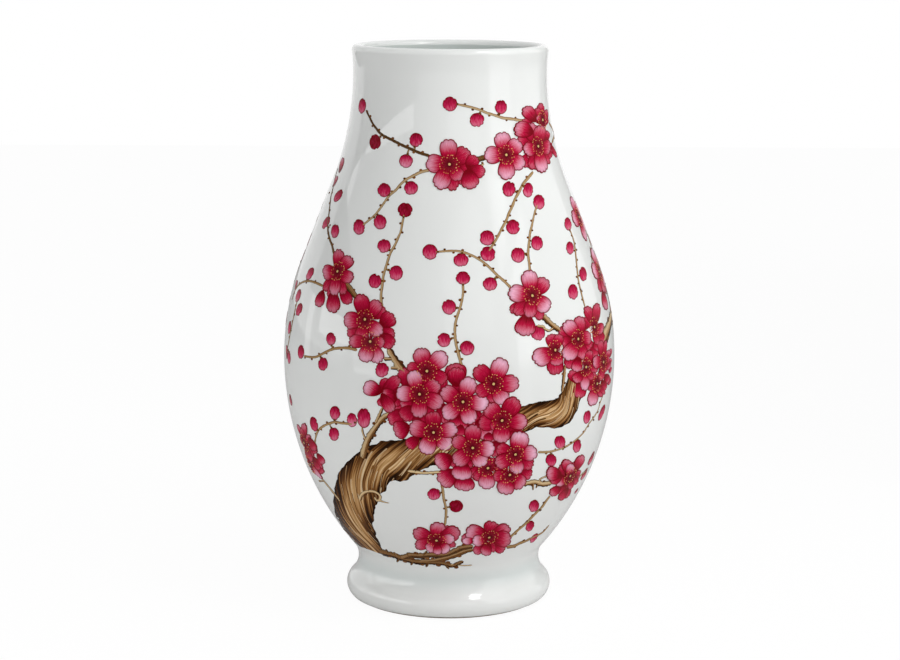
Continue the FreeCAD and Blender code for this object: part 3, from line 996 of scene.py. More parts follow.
def bud(kit, side, x, y, wide, high, tone, lean):
    """A round bud: a dab with a scalloped edge that hides the calyx."""
    lean = math.radians(lean)
    up = np.array([math.sin(lean), -math.cos(lean)]) * high
    axes = axes_from(np.array((x, y)) - up, np.array((x, y)) + up, 2 * wide)
    turn = np.linspace(0, TURN, BUD_CORNERS, endpoint=False)
    wave = 1 + RIPPLE * np.cos(BUD_RIPPLES * turn + seeds.uniform(*ANY_TURN))
    wave = wave + BUD_OVALNESS * np.cos(2 * turn + seeds.uniform(*ANY_TURN))
    for _ in range(BUD_NOTCHES):
        apart = (turn - seeds.uniform(0, TURN) + math.pi) % TURN - math.pi
        wave -= seeds.uniform(*NOTCH_DEPTHS) * np.exp(-((apart / BUD_NOTCH_WIDTH) ** 2))
    along, sideways = 0.5 + 0.5 * np.cos(turn) * wave, np.sin(turn) * wave
    dab(kit["buds"], side, axes, along, sideways, BUD_RINGS, tone, BUD_LEVEL)


print("points in a bud:", BUD_CORNERS * (len(BUD_RINGS) + 1) + 1)


# %% [markdown]
# Twigs and boughs.
# A twig is one pull of a fine brush, a little fatter where the brush rests at each node. It is a
# low ridge along a smooth line on the map. The same ridge, wider and tapered, makes the boughs.

# %% A smooth line
SMOOTH_STEPS, RIDGE_PIXELS = 8, 2.2


def smooth(points, step):
    """A rounded line through points, in even steps."""
    points = np.asarray(points, dtype=float)
    if len(points) > 2:
        before, after = 2 * points[:1] - points[1:2], 2 * points[-1:] - points[-2:-1]
        ends = np.concatenate([before, points, after])
        rounded = []
        for a, b, c, d in zip(ends, ends[1:], ends[2:], ends[3:]):
            t = np.linspace(0, 1, SMOOTH_STEPS, endpoint=False)[:, None]
            bend = (2 * a - 5 * b + 4 * c - d) * t**2 + (3 * b - a - 3 * c + d) * t**3
            rounded.append(0.5 * (2 * b + (c - a) * t + bend))
        points = np.concatenate(rounded + [points[-1:]])
    run = np.concatenate([[0], np.cumsum(np.linalg.norm(np.diff(points, axis=0), axis=1))])
    even = np.linspace(0, run[-1], max(2, round(run[-1] / step) + 1))
    return np.stack([np.interp(even, run, points[:, i]) for i in range(points.shape[1])], axis=1)


print("points on a smooth line:", len(smooth([(0, 0), (10, 4), (20, 0)], RIDGE_PIXELS)))


# %% [markdown]
# Across a ridge, from one skirt over its top to the other skirt: how far out a line of points lies,
# as a share of the half width, how high it rises, as a share of the dome, and how far it is from
# the dark edge.

# %% A ridge
RIDGE_STEP, RIDGE_ROUGH, RIDGE_SLOPE, HIGHEST_RIDGE = 1.2 * MM, 0.12, 0.06, 0.10 * MM
ROOT_SHARE, TIP_SHARE = 0.6, 0.45
RIDGE_LINES = (
    (-1, None, 0), (-1, 0, 0), (-0.55, 0.7, 0.8), (0, 1, 1), (0.55, 0.7, 0.8), (1, 0, 0),
    (1, None, 0),
)


def sheet_faces(wide, count):
    """The faces of a grid of points, listed column by column."""
    return [
        [a * count + b, a * count + b + 1, (a + 1) * count + b + 1, (a + 1) * count + b]
        for a in range(wide - 1) for b in range(count - 1)
    ]


def ridge(enamel, side, pixels, first_width, last_width, level, tone, rough=RIDGE_ROUGH):
    """A raised line along pixels of the picture. The widths are in pixels too."""
    angles, runs = side.place(*onto_vase(smooth(pixels, RIDGE_PIXELS)))
    steps = np.hypot(np.diff(angles) * radius_at(runs[1:]), np.diff(runs))
    length = np.concatenate([[0], np.cumsum(steps)])
    even = np.linspace(0, length[-1], max(3, math.ceil(length[-1] / RIDGE_STEP) + 1))
    angles, runs = np.interp(even, length, angles), np.interp(even, length, runs)
    radius = radius_at(runs)
    ahead = np.gradient(np.stack([angles, -runs], axis=1), axis=0)
    ahead *= np.stack([radius, radius**0], axis=1)
    ahead /= np.maximum(np.linalg.norm(ahead, axis=1), NOTHING)[:, None]
    share = np.linspace(0, 1, len(even))
    width = (first_width + share * (last_width - first_width)) * PIXEL / 2
    width = width * (1 + rough * np.array([seeds.uniform(-1, 1) for _ in share]))
    width[0] *= ROOT_SHARE
    width[-1] *= TIP_SHARE
    dome = min(first_width * PIXEL * RIDGE_SLOPE, HIGHEST_RIDGE)
    points, drawn = [], []
    for out, rise, _ in RIDGE_LINES:
        skirt = rise is None
        lift = -SINK if skirt else PROUD + dome * rise + level * LAYER
        over = out * width
        points.append(wrap(angles - over * ahead[:, 1] / radius, runs - over * ahead[:, 0], lift))
        drawn.append(np.stack([even, over + (out * SKIRT_SPREAD if skirt else 0)], axis=1))
    count, wide = len(even), len(RIDGE_LINES)
    faces = sheet_faces(wide, count)
    faces += [[a * count for a in range(wide)][::-1], [a * count + count - 1 for a in range(wide)]]
    outs, _, edges = zip(*RIDGE_LINES)
    facts = {
        "along": np.tile(share, wide), "across": np.repeat(outs, count), "tone": tone,
        "edge": np.repeat(edges, count), "seed": new_seed(),
    }
    enamel.add(np.concatenate(points), faces, np.concatenate(drawn), facts)


print("the highest ridge, mm:", HIGHEST_RIDGE / MM)

# %% Knots, and a twig with its knots
twig_lines = []
TWIG_LEVEL, TWIG_STEP = 1, 4.4
KNOT_SPACING, KNOT_SIZES, KNOT_WIDTH = 8.5, (1.2, 1.8), 5
KNOT_OUT, KNOT_FURTHER, KNOT_SQUASH, KNOT_CORNERS = 0.42, 0.5, 0.8, 8


def knots_along(kit, side, pixels, width, level):
    """Small dark knots on both edges of a line, by turns."""
    line = smooth(pixels, KNOT_SPACING)
    ahead = np.gradient(line, axis=0)
    ahead /= np.hypot(*ahead.T)[:, None]
    for number, (here, way) in enumerate(zip(line[1:-1], ahead[1:-1])):
        angles, runs = onto_vase([here, here + way])
        beyond = flat_from(angles[0], runs[0], (angles[1:], runs[1:]))[0]
        hand = (1 if number % 2 else -1) * (KNOT_OUT * width + KNOT_FURTHER) * PIXEL
        offset = hand / np.hypot(*beyond) * np.array([-beyond[1], beyond[0]])
        size = seeds.uniform(*KNOT_SIZES) * PIXEL * max(1, width / KNOT_WIDTH)
        place, tone = (angles[0], runs[0]), seeds.random()
        spot(kit["knots"], side, place, offset, size, level, tone, KNOT_SQUASH, KNOT_CORNERS)


def twig(kit, side, pixels, first_width, last_width, tone):
    ridge(kit["twigs"], side, pixels, first_width, last_width, TWIG_LEVEL, tone)
    twig_lines.append(smooth(pixels, TWIG_STEP))
    knots_along(kit, side, pixels, first_width, TWIG_LEVEL + 1)


print("knots stand apart by, mm:", round(KNOT_SPACING * PIXEL / MM, 1))

# %% A bud's stalk
LONGEST_STALK, STALK_WIDTHS, STALK_TONE, STALK_BEND = 22, (1.7, 2.4), 0.25, 0.8
STALK_INSIDE, BUD_ON_TWIG, BUD_BESIDE_TWIG = 0.8, 0.6, 1.1
CALYX, CALYX_LEVEL, CALYX_TONE = 1.1 * PIXEL, 7, 0.3


def stalk(kit, side, x, y, high):
    """A short stalk from the nearest twig to a bud, with a calyx where it meets the bud."""
    points = np.concatenate(twig_lines)
    gaps = np.hypot(points[:, 0] - x, points[:, 1] - y)
    nearest = points[np.argmin(gaps)]
    if not high * BUD_ON_TWIG < gaps.min() < LONGEST_STALK:
        return
    towards = (nearest - (x, y)) / gaps.min()
    root = np.array((x, y)) + towards * high * STALK_INSIDE
    if gaps.min() > high * BUD_BESIDE_TWIG:
        bent = (root + nearest) / 2 + (towards[1] * STALK_BEND, -towards[0] * STALK_BEND)
        line = [nearest, bent, root]
        ridge(kit["twigs"], side, line, *STALK_WIDTHS, TWIG_LEVEL, STALK_TONE)
    place = place_of(np.array((x, y)) + towards * high)
    spot(
        kit["knots"], side, place, (0, 0), CALYX, CALYX_LEVEL, CALYX_TONE,
        corners=KNOT_CORNERS,
    )


print("the longest stalk, mm:", round(LONGEST_STALK * PIXEL / MM, 1))


# %% [markdown]
# The old trunk.
# It is painted in a quick dry style: a broad bent mass, dark brown at its edges, with slanting
# streaks of tan and cream where the bark is worn. The mass is one sheet between its two edges,
# given as pairs of places across it. Its edge is ragged, and tapered strokes lie over it.

# %% Where the trunk goes
TRUNK_PAIRS = [
    ((570, 374), (584, 386)), ((562, 391), (580, 402)), ((556, 399), (571, 420)),
    ((546, 401), (557, 428)), ((534, 403), (540, 427)), ((521, 407), (526, 431)),
    ((500, 412), (508, 437)), ((480, 418), (490, 443)), ((460, 427), (470, 450)),
    ((440, 432), (455, 456)), ((415, 437), (441, 462)), ((400, 440), (420, 471)),
    ((385, 441), (405, 480)), ((368, 446), (392, 482)), ((354, 454), (385, 490)),
    ((344, 465), (380, 495)), ((337, 476), (378, 502)), ((335, 488), (375, 509)),
    ((334, 500), (373, 517)), ((336, 514), (373, 525)), ((342, 527), (376, 536)),
    ((352, 539), (380, 545)), ((359, 546), (387, 556)),
]
print("the trunk is crossed at", len(TRUNK_PAIRS), "places")

# %% The trunk's sheet, and the bark's strokes on it
TRUNK_COLUMNS, TRUNK_STEP, TRUNK_TWIST = 13, 3.2, 4.4
TRUNK_SHEET_WIDTH, TRUNK_SHEET_LENGTH, SKIRT_OUT = 22 * MM, 300 * MM, 0.02
TRUNK_SEED, TRUNK_RIM_RISE, OUTER_RAGGED, INNER_RAGGED = 3.0, 2.8, 0.035, 0.045
BARK_SWELL, BARK_GROOVES, GROOVE_TURNS = 0.06 * MM, 0.05 * MM, 19
BARK_STROKES, BARK_STEPS, BARK_WIDTHS, BARK_LEVEL = 170, (6, 22), (0.5, 1.9), 3
BARK_STARTS, TO_THE_EDGES, BARK_TWISTS = (-0.05, 0.97), (0.7, 0.7), (0.8, 1.15)
INNER_END, BARK_SHADE, BARK_SPARED, BARK_TAPER, BARK_ROUGH = 0.99, 4, 0.08, 0.4, 0.05


def trunk(kit, side):
    """The trunk's sheet between its two edges, and the bark's strokes over it."""
    edges = smooth([first + second for first, second in TRUNK_PAIRS], TRUNK_STEP)
    outer, inner = edges[:, :2], edges[:, 2:]
    share = np.linspace(0, 1, len(edges))
    ragged = np.array([[seeds.uniform(-1, 1), seeds.uniform(-1, 1)] for _ in share])
    ragged = (ragged + np.roll(ragged, 1, axis=0)) / 2
    across = inner - outer
    outs = np.linspace(0, 1, TRUNK_COLUMNS)
    columns = [outer + out * across for out in outs]
    columns[0] = columns[0] + across * ragged[:, :1] * OUTER_RAGGED
    columns[-1] = columns[-1] + across * ragged[:, 1:] * INNER_RAGGED
    angles, runs = side.place(*onto_vase(np.concatenate(columns)))
    grooves = BARK_GROOVES * np.sin(outs * GROOVE_TURNS + 1) * np.sin(outs * math.pi)
    rims = (outs == 0) | (outs == 1)
    count = len(share)
    lifts = np.repeat(np.where(rims, PROUD, PROUD + BARK_SWELL + grooves), count)
    top = wrap(angles, runs, lifts)
    skirts = [wrap(angles[rim], runs[rim], -SINK) for rim in (slice(count), slice(-count, None))]
    wide = TRUNK_COLUMNS + 2
    outs = np.repeat(np.concatenate([[-SKIRT_OUT], outs, [1 + SKIRT_OUT]]), count)
    lengths = np.tile(share * TRUNK_SHEET_LENGTH, wide)
    kit["trunk"].add(
        np.concatenate([skirts[0], top, skirts[1]]), sheet_faces(wide, count),
        np.stack([lengths, outs * TRUNK_SHEET_WIDTH], axis=1),
        {"along": np.tile(share, wide), "across": outs * 2 - 1, "tone": 0.5,
         "edge": np.clip(TRUNK_RIM_RISE * np.minimum(outs, 1 - outs), 0, 1),
         "seed": TRUNK_SEED + side.turn},
    )
    for _ in range(BARK_STROKES):
        at, out = seeds.uniform(*BARK_STARTS), seeds.betavariate(*TO_THE_EDGES)
        first = max(0, int(at * (count - 1)))
        last = min(first + int(seeds.uniform(*BARK_STEPS)), count - 1)
        slope = TRUNK_TWIST * seeds.uniform(*BARK_TWISTS) / count
        crossing = [(i, out + slope * (i - first)) for i in range(first, last + 1)]
        places = [outer[i] + here * across[i] for i, here in crossing if here < INNER_END]
        if len(places) > 2:
            from_edge = min(out + BARK_SPARED, 1 + BARK_SPARED - out)
            light = seeds.random() * min(1, BARK_SHADE * from_edge)
            width = seeds.uniform(*BARK_WIDTHS)
            last_width = width * BARK_TAPER
            ridge(kit["bark"], side, places, width, last_width, BARK_LEVEL, light, BARK_ROUGH)


print("strokes tried on a trunk's bark:", BARK_STROKES)


# %% [markdown]
# The boughs and the roots.
# Each has the places that it passes in the picture, its first and its last width in pixels, and its
# tone. The short ones are spurs. The roots' thorns are all alike, and only their places differ.

# %% Boughs, roots and thorns
BOUGHS = [
    ([(363, 458), (366, 445), (370, 436), (376, 427), (383, 418), (392, 413), (398, 411)], 9, 5,
      .35),
    ([(376, 423), (380, 414), (383, 407)], 4, 3, .3),
    ([(366, 440), (363, 433), (362, 427)], 3, 2.2, .5),
    ([(405, 372), (400, 367), (394, 358), (388, 348)], 9, 6, .3),
    ([(384, 359), (392, 359)], 4, 3, .3),
    ([(391, 368), (398, 368)], 4, 3, .3),
    ([(342, 281), (347, 285), (353, 293), (357, 298)], 6, 5.5, .15),
    ([(543, 316), (552, 325), (561, 331)], 7, 6, .3),
    ([(537, 326), (545, 327)], 3, 3, .4),
    ([(543, 328), (549, 331), (553, 328)], 3, 2.4, .4),
    ([(604, 341), (606, 334), (609, 326), (611, 317), (612, 309), (610, 300), (607, 292)], 18, 7,
      .35),
    ([(565, 365), (564, 375), (563, 383), (562, 392)], 4, 4, .25),
    ([(473, 161), (486, 157)], 6, 5, .1),
    ([(482, 162), (483, 165)], 3, 2, .1),
    ([(484, 164), (475, 168), (470, 170)], 2.2, 1.6, .95),
    ([(524, 484), (535, 482), (542, 484), (552, 483)], 6.5, 6, .45),
    ([(533, 484), (533, 490)], 3, 2, .2),
    ([(538, 483), (536, 488)], 3, 2, .2),
    ([(540, 483), (540, 479), (552, 474)], 2.6, 2, .4),
    ([(573, 481), (581, 475), (588, 468)], 2.6, 2.4, .4),
    ([(360, 500), (361, 496), (364, 493), (368, 491.5), (373, 491.5), (377, 493), (380, 496),
      (379, 500), (376.5, 500), (375, 497)], 4.5, 4, .55),
    ([(379, 500), (384, 502), (389, 503)], 2.2, 1.4, .6),
    ([(408, 471), (416, 472), (424, 473), (441, 472)], 4, 3, .95),
    ([(319, 474), (324, 481), (329, 487), (340, 501)], 3, 4, .5),
    ([(319, 481), (324, 481)], 2.4, 2, .3),
    ([(380, 552), (393, 555), (398, 557), (404, 559), (412, 561), (420, 562), (430, 562.5),
      (440, 563), (448, 564.5), (452, 566), (457, 564), (463, 561)], 11, 5, .12),
    ([(448, 564), (458, 565), (465, 565.5), (472, 565)], 2, 1.5, .9),
    ([(402, 559), (411, 555.5), (420, 556), (430, 555), (445, 555), (455, 551), (462, 548),
      (473, 546.5)], 10, 8, .14),
    ([(418, 562), (432, 561), (440, 559.5), (450, 557), (458, 554), (466, 551), (473, 549.5)], 8, 7,
      .2),
    ([(394, 552), (398, 557)], 3, 3, .2),
]
THORNS = [
    ((409, 558), (407, 553)), ((423, 556), (427, 551)), ((436, 556), (440, 551)),
    ((429, 562), (426, 567)), ((445, 564), (449, 569)), ((457, 552), (460, 547)),
    ((413, 561), (411, 565)), ((399, 558), (397, 562)), ((388, 553), (386, 549)),
]
BOUGHS += [(thorn, 3.4, 2, .1) for thorn in THORNS]
print("boughs, spurs and thorns:", len(BOUGHS))

# %% [markdown]
# The twigs' lines.
# They rise and swing out from the trunk in long curves, the way young plum shoots do. They are
# written down like the boughs.

# %% Twigs
TWIGS = [
    ([(430, 156), (420, 153), (413, 150), (404, 146), (396, 142), (388, 138), (381, 134),
      (376, 128), (373, 124), (370, 118), (366, 110)], 3, 2.4, .06),
    ([(430, 170), (421, 172), (413, 176), (407, 179), (401, 184), (396, 190), (389, 196),
      (384, 203), (379, 210), (374, 216), (368, 221), (363, 225)], 3, 2.4, .6),
    ([(524, 121), (512, 119), (503, 118), (494, 115), (487, 113), (480, 110), (470, 107),
      (456, 104)], 3, 2.2, .6),
    ([(533, 172), (528, 178), (523, 184), (519, 192), (515, 199), (512, 207), (509, 213),
      (506, 221), (501, 230), (497, 238), (489, 251)], 3, 2.4, .5),
    ([(382, 307), (381, 296), (382, 288), (383, 278), (385, 270), (388, 260), (391, 252),
      (395, 245), (398, 238), (401, 231), (402, 225), (404, 215)], 3, 2.2, .55),
    ([(511, 288), (504, 281), (497, 275), (490, 268), (483, 262), (475, 257), (466, 253),
      (457, 251), (448, 251), (436, 252)], 3, 2, .55),
    ([(530, 272), (529, 262), (528, 253), (529, 243), (530, 233), (532, 225), (534, 215),
      (537, 205)], 3, 2.2, .5),
    ([(462, 368), (460, 360), (458, 352), (456, 344), (455, 335), (455, 326), (457, 317),
      (460, 308), (462, 300), (463, 293), (463, 283)], 3, 2.2, .55),
    ([(334, 254), (332, 245), (330, 240), (328, 231), (328, 222), (329, 213), (330, 204),
      (331, 196), (333, 188), (335, 178), (338, 168)], 2.8, 2.4, .12),
    ([(323, 286), (314, 282), (307, 281), (301, 283), (297, 287), (294, 293), (292, 300)], 2.6, 2,
      .35),
    ([(298, 298), (296, 306), (294, 315), (292, 325), (290, 335), (288, 346)], 2.4, 2, .35),
    ([(357, 350), (348, 348), (340, 348), (333, 349), (328, 351), (322, 354), (316, 357),
      (310, 357), (304, 356)], 3, 2.2, .4),
    ([(352, 424), (341, 423), (335, 422), (328, 424), (322, 427), (318, 431), (316, 436),
      (315, 443)], 2.8, 2.2, .45),
    ([(569, 228), (573, 238), (575, 248), (576, 258), (577, 268), (578, 278), (580, 288),
      (582, 296), (585, 307)], 2.6, 2.4, .5),
    ([(590, 247), (593, 268)], 2.4, 2.2, .25),
    ([(576, 217), (580, 217), (584, 221)], 2.4, 2, .4),
    ([(538, 452), (546, 452), (553, 451), (560, 449), (567, 446), (573, 442), (578, 438),
      (584, 432), (588, 425), (594, 417), (598, 410), (600, 403), (603, 395)], 2.4, 1.8, .55),
    ([(550, 496), (546, 501), (542, 507), (536, 513), (530, 519), (524, 525), (518, 530),
      (508, 539)], 4, 4, .45),
    ([(507, 547), (514, 546), (520, 543), (526, 541), (531, 538)], 5.5, 4.5, .35),
    ([(531, 538), (540, 534), (544, 531), (549, 525)], 4.5, 3, .4),
    ([(442, 484), (443, 492), (444, 500), (446, 508), (446, 514), (445, 525)], 2.8, 2.4, .5),
    ([(549, 123), (552, 128), (554, 135), (552, 143)], 3, 2.4, .4),
]
print("twigs:", len(TWIGS))

# %% [markdown]
# The blossoms.
# Each has its eye's place, then the petals that lie behind, then those in front and, for a blossom
# that is seen from below, those that lie over its stamens. A petal has its tip's place, its width
# and its tone, from dark red at 0 to a nearly white tip at 1. Its root is the eye, or a place of
# its own that follows the tone. The loose petals, each with its root, lie under all the blossoms:
# they fill the clusters and belong to blossoms that are mostly hidden.

# %% Blossoms
BLOSSOMS = [
    ((449.5, 164.5), [(453, 191, 14, .1)],
     [(469, 150, 17, .4), (426, 163, 18, .7), (438, 189, 17, .75), (461, 180, 14, .5),
      (448, 139, 17, .7)]),
    ((467, 169), [(476, 156, 13, .1), (485, 173, 13, .4), (472, 189, 17, .5)], []),
    ((506, 155), [],
     [(501, 132, 16, .8), (520, 141, 16, .7), (524, 167, 15, .75), (507, 180, 16, .8),
      (484, 155, 17, .8)]),
    ((537.5, 146.5), [(532, 171, 12, .1), (549, 164, 7, .1), (555, 159, 5, .2, 549, 143)],
     [(528, 123, 14, .55), (541, 125, 12, .5), (550, 148, 15, .5), (543, 173, 12, .8),
      (523, 151, 14, .6)]),
    ((542, 120), [],
     [(524, 107, 12, .5, 536, 122), (542, 103, 7, .4), (536, 108, 6, .3), (547, 118, 5, .3),
      (536, 117, 6, .5), (546, 124, 6, .4), (514, 127, 16, .6, 533, 133)]),
    ((338, 271.5),
     [(324, 291, 9, .05), (345, 297, 9, .05), (328, 297, 5, .1), (333, 313, 13, .5, 334, 290),
      (318, 307, 9, .5, 323, 290)],
     [(339, 249, 11, .5), (352, 257, 12, .5), (353, 280, 13, .5), (334, 296, 11, .6),
      (323, 273, 15, .6)]),
    ((365.3, 319.4), [(394, 315, 16, .1, 380, 326)],
     [(380, 301, 14, .5), (382, 335, 14, .7), (360, 343, 13, .5), (344, 321, 17, .6),
      (360, 294, 15, .3)]),
    ((370.6, 341.5), [(393, 347, 14, .1, 380, 333)],
     [(349, 341, 13, .5), (385, 343, 11, .5), (380, 363, 14, .8), (364, 362, 15, .8)]),
    ((381.6, 393), [(389, 379, 13, .3), (400, 377, 12, .4), (402, 419, 16, .3, 414, 406)],
     [(382, 398, 18, .5, 398, 396), (364, 385, 15, .85), (380, 406, 9, .4, 385, 396),
      (393, 412, 12, .5)]),
    ((487.8, 467.8), [(474, 479, 11, .3), (486, 489, 16, .85)], []),
    ((509.6, 474.5), [(493, 477, 12, .3)], [(524, 486, 16, .6), (503, 494, 17, .7)]),
    ((427, 371), [(407, 366, 11, .1), (447, 381, 14, .25)],
     [(419, 348, 17, .6), (446, 353, 17, .85)]),
    ((419.7, 394), [],
     [(440, 383, 15, .5), (443, 405, 16, .6), (419, 418, 16, .6), (412, 370, 15, .85),
      (396, 393, 16, .85)]),
    ((462.9, 401.6), [],
     [(441, 389, 16, .6), (472, 424, 16, .85), (443, 417, 16, .8), (471, 377, 17, .85),
      (489, 403, 16, 1.0)]),
    ((493.4, 383.8), [(505, 404, 16, .8), (475, 367, 17, .15), (476, 394, 14, .1)],
     [(519, 383, 17, .6), (503, 358, 17, .9)]),
    ((501.8, 420.2), [(478, 424, 16, .35), (492, 430, 12, .2)],
     [(486, 405, 17, .5), (528, 422, 16, .6), (501, 443, 17, .6), (517, 398, 17, .35)]),
    ((433.6, 432.2), [(394, 432, 18, .5, 410, 426)],
     [(409, 426, 17, .6), (433, 411, 16, .3), (451, 448, 16, .85), (424, 454, 17, .9),
      (458, 428, 15, .8)]),
    ((472.6, 447.5), [],
     [(452, 439, 14, .5), (473, 424, 16, .5), (454, 464, 16, .6), (484, 466, 16, .85),
      (495, 449, 16, .9)]),
    ((515, 454), [(533, 468, 14, .3), (517, 474, 14, .8)],
     [(496, 448, 14, .3), (495, 465, 14, .5), (537, 452, 15, .9), (522, 431, 18, .9)]),
    ((436.5, 540), [(449, 526, 9, .2)],
     [(413, 531, 13, .5), (415, 546, 11, .5), (439, 522, 16, .6), (460, 530, 15, .5),
      (456, 545, 7, .4), (455, 538, 10, .85)],
     [(428, 551, 11, .8, 436, 540), (448, 552, 11, .9, 439, 541), (438, 554, 9, .7, 437, 542)]),
    ((489, 537), [(494, 552, 6, .3), (497, 544, 6, .3)],
     [(462, 531, 18, .7), (493, 521, 15, .3), (510, 527, 13, .5), (515, 540, 16, .5),
      (462, 541, 7, .9, 477, 540)],
     [(474, 553, 9, .5, 485, 543), (484, 555, 11, .6, 489, 542), (472, 541, 12, .95, 488, 539)]),
    ((569.5, 475.5),
     [(560, 461, 11, .3, 568, 478), (577, 461, 11, .3, 570, 478), (579, 482, 10, .3, 570, 472),
      (564, 498, 10, .3, 568, 480), (575, 487, 10, .3, 570, 473), (557, 493, 7, .2, 566, 485),
      (559, 500, 8, .3, 568, 487), (550, 495, 10, .5, 561, 485), (569, 489, 8, .4, 573, 477)],
     [(555, 484, 9, .8, 567, 477), (550, 482, 9, .4, 562, 475), (546, 473, 14, .6, 561, 474),
      (566, 459, 10, .5, 567, 474), (583, 455, 14, .5, 573, 472), (580, 470, 7, .4, 574, 478),
      (571, 463, 8, .8, 567, 478)]),
    ((577.7, 339), [],
     [(580, 316, 12, .5), (591, 337, 14, .5), (584, 360, 11, .5), (565, 360, 15, .8),
      (565, 321, 14, .8)]),
    ((594, 327), [], [(586, 306, 9, .4), (597, 303, 8, .4), (597, 345, 6, .4), (603, 330, 12, .5)]),
    ((555, 350), [(555, 375, 16, .2), (557, 366, 13, .5)],
     [(550, 334, 12, .15), (560, 334, 10, .4), (533, 361, 18, .85)]),
    ((585.5, 367), [(584, 391, 9, .8), (592, 380, 7, .3)],
     [(590, 350, 8, .4), (575, 372, 15, .6, 579, 357), (574, 382, 10, .5, 582, 371)]),
    ((602.7, 362), [],
     [(600, 340, 7, .4), (607, 341, 5, .4), (592, 362, 13, .6), (606, 374, 5, .3),
      (600, 381, 6, .4)]),
    ((596.4, 383.5), [],
     [(591, 406, 10, .8), (588, 390, 5, .4), (601, 397, 6, .4), (605, 396, 4, .4)]),
    ((532, 295.8), [(513, 316, 13, .2), (541, 320, 11, .2), (524, 336, 20, .6, 527, 314)],
     [(547, 279, 15, .5), (549, 310, 16, .85), (529, 318, 13, .5), (528, 270, 16, .85),
      (508, 292, 17, .9)]),
    ((304.7, 442.6), [],
     [(304, 423, 6, .5), (316, 451, 6, .4, 309, 437), (312, 462, 5, .4, 307, 446),
      (301, 428, 4, .3, 306, 439)]),
    ((311, 464), [],
     [(324, 464, 8, .5, 317, 453), (324, 473, 6, .4, 314, 466), (320, 470, 5, .3, 313, 459),
      (318, 480, 6, .85, 308, 458)]),
]
print("blossoms:", len(BLOSSOMS))

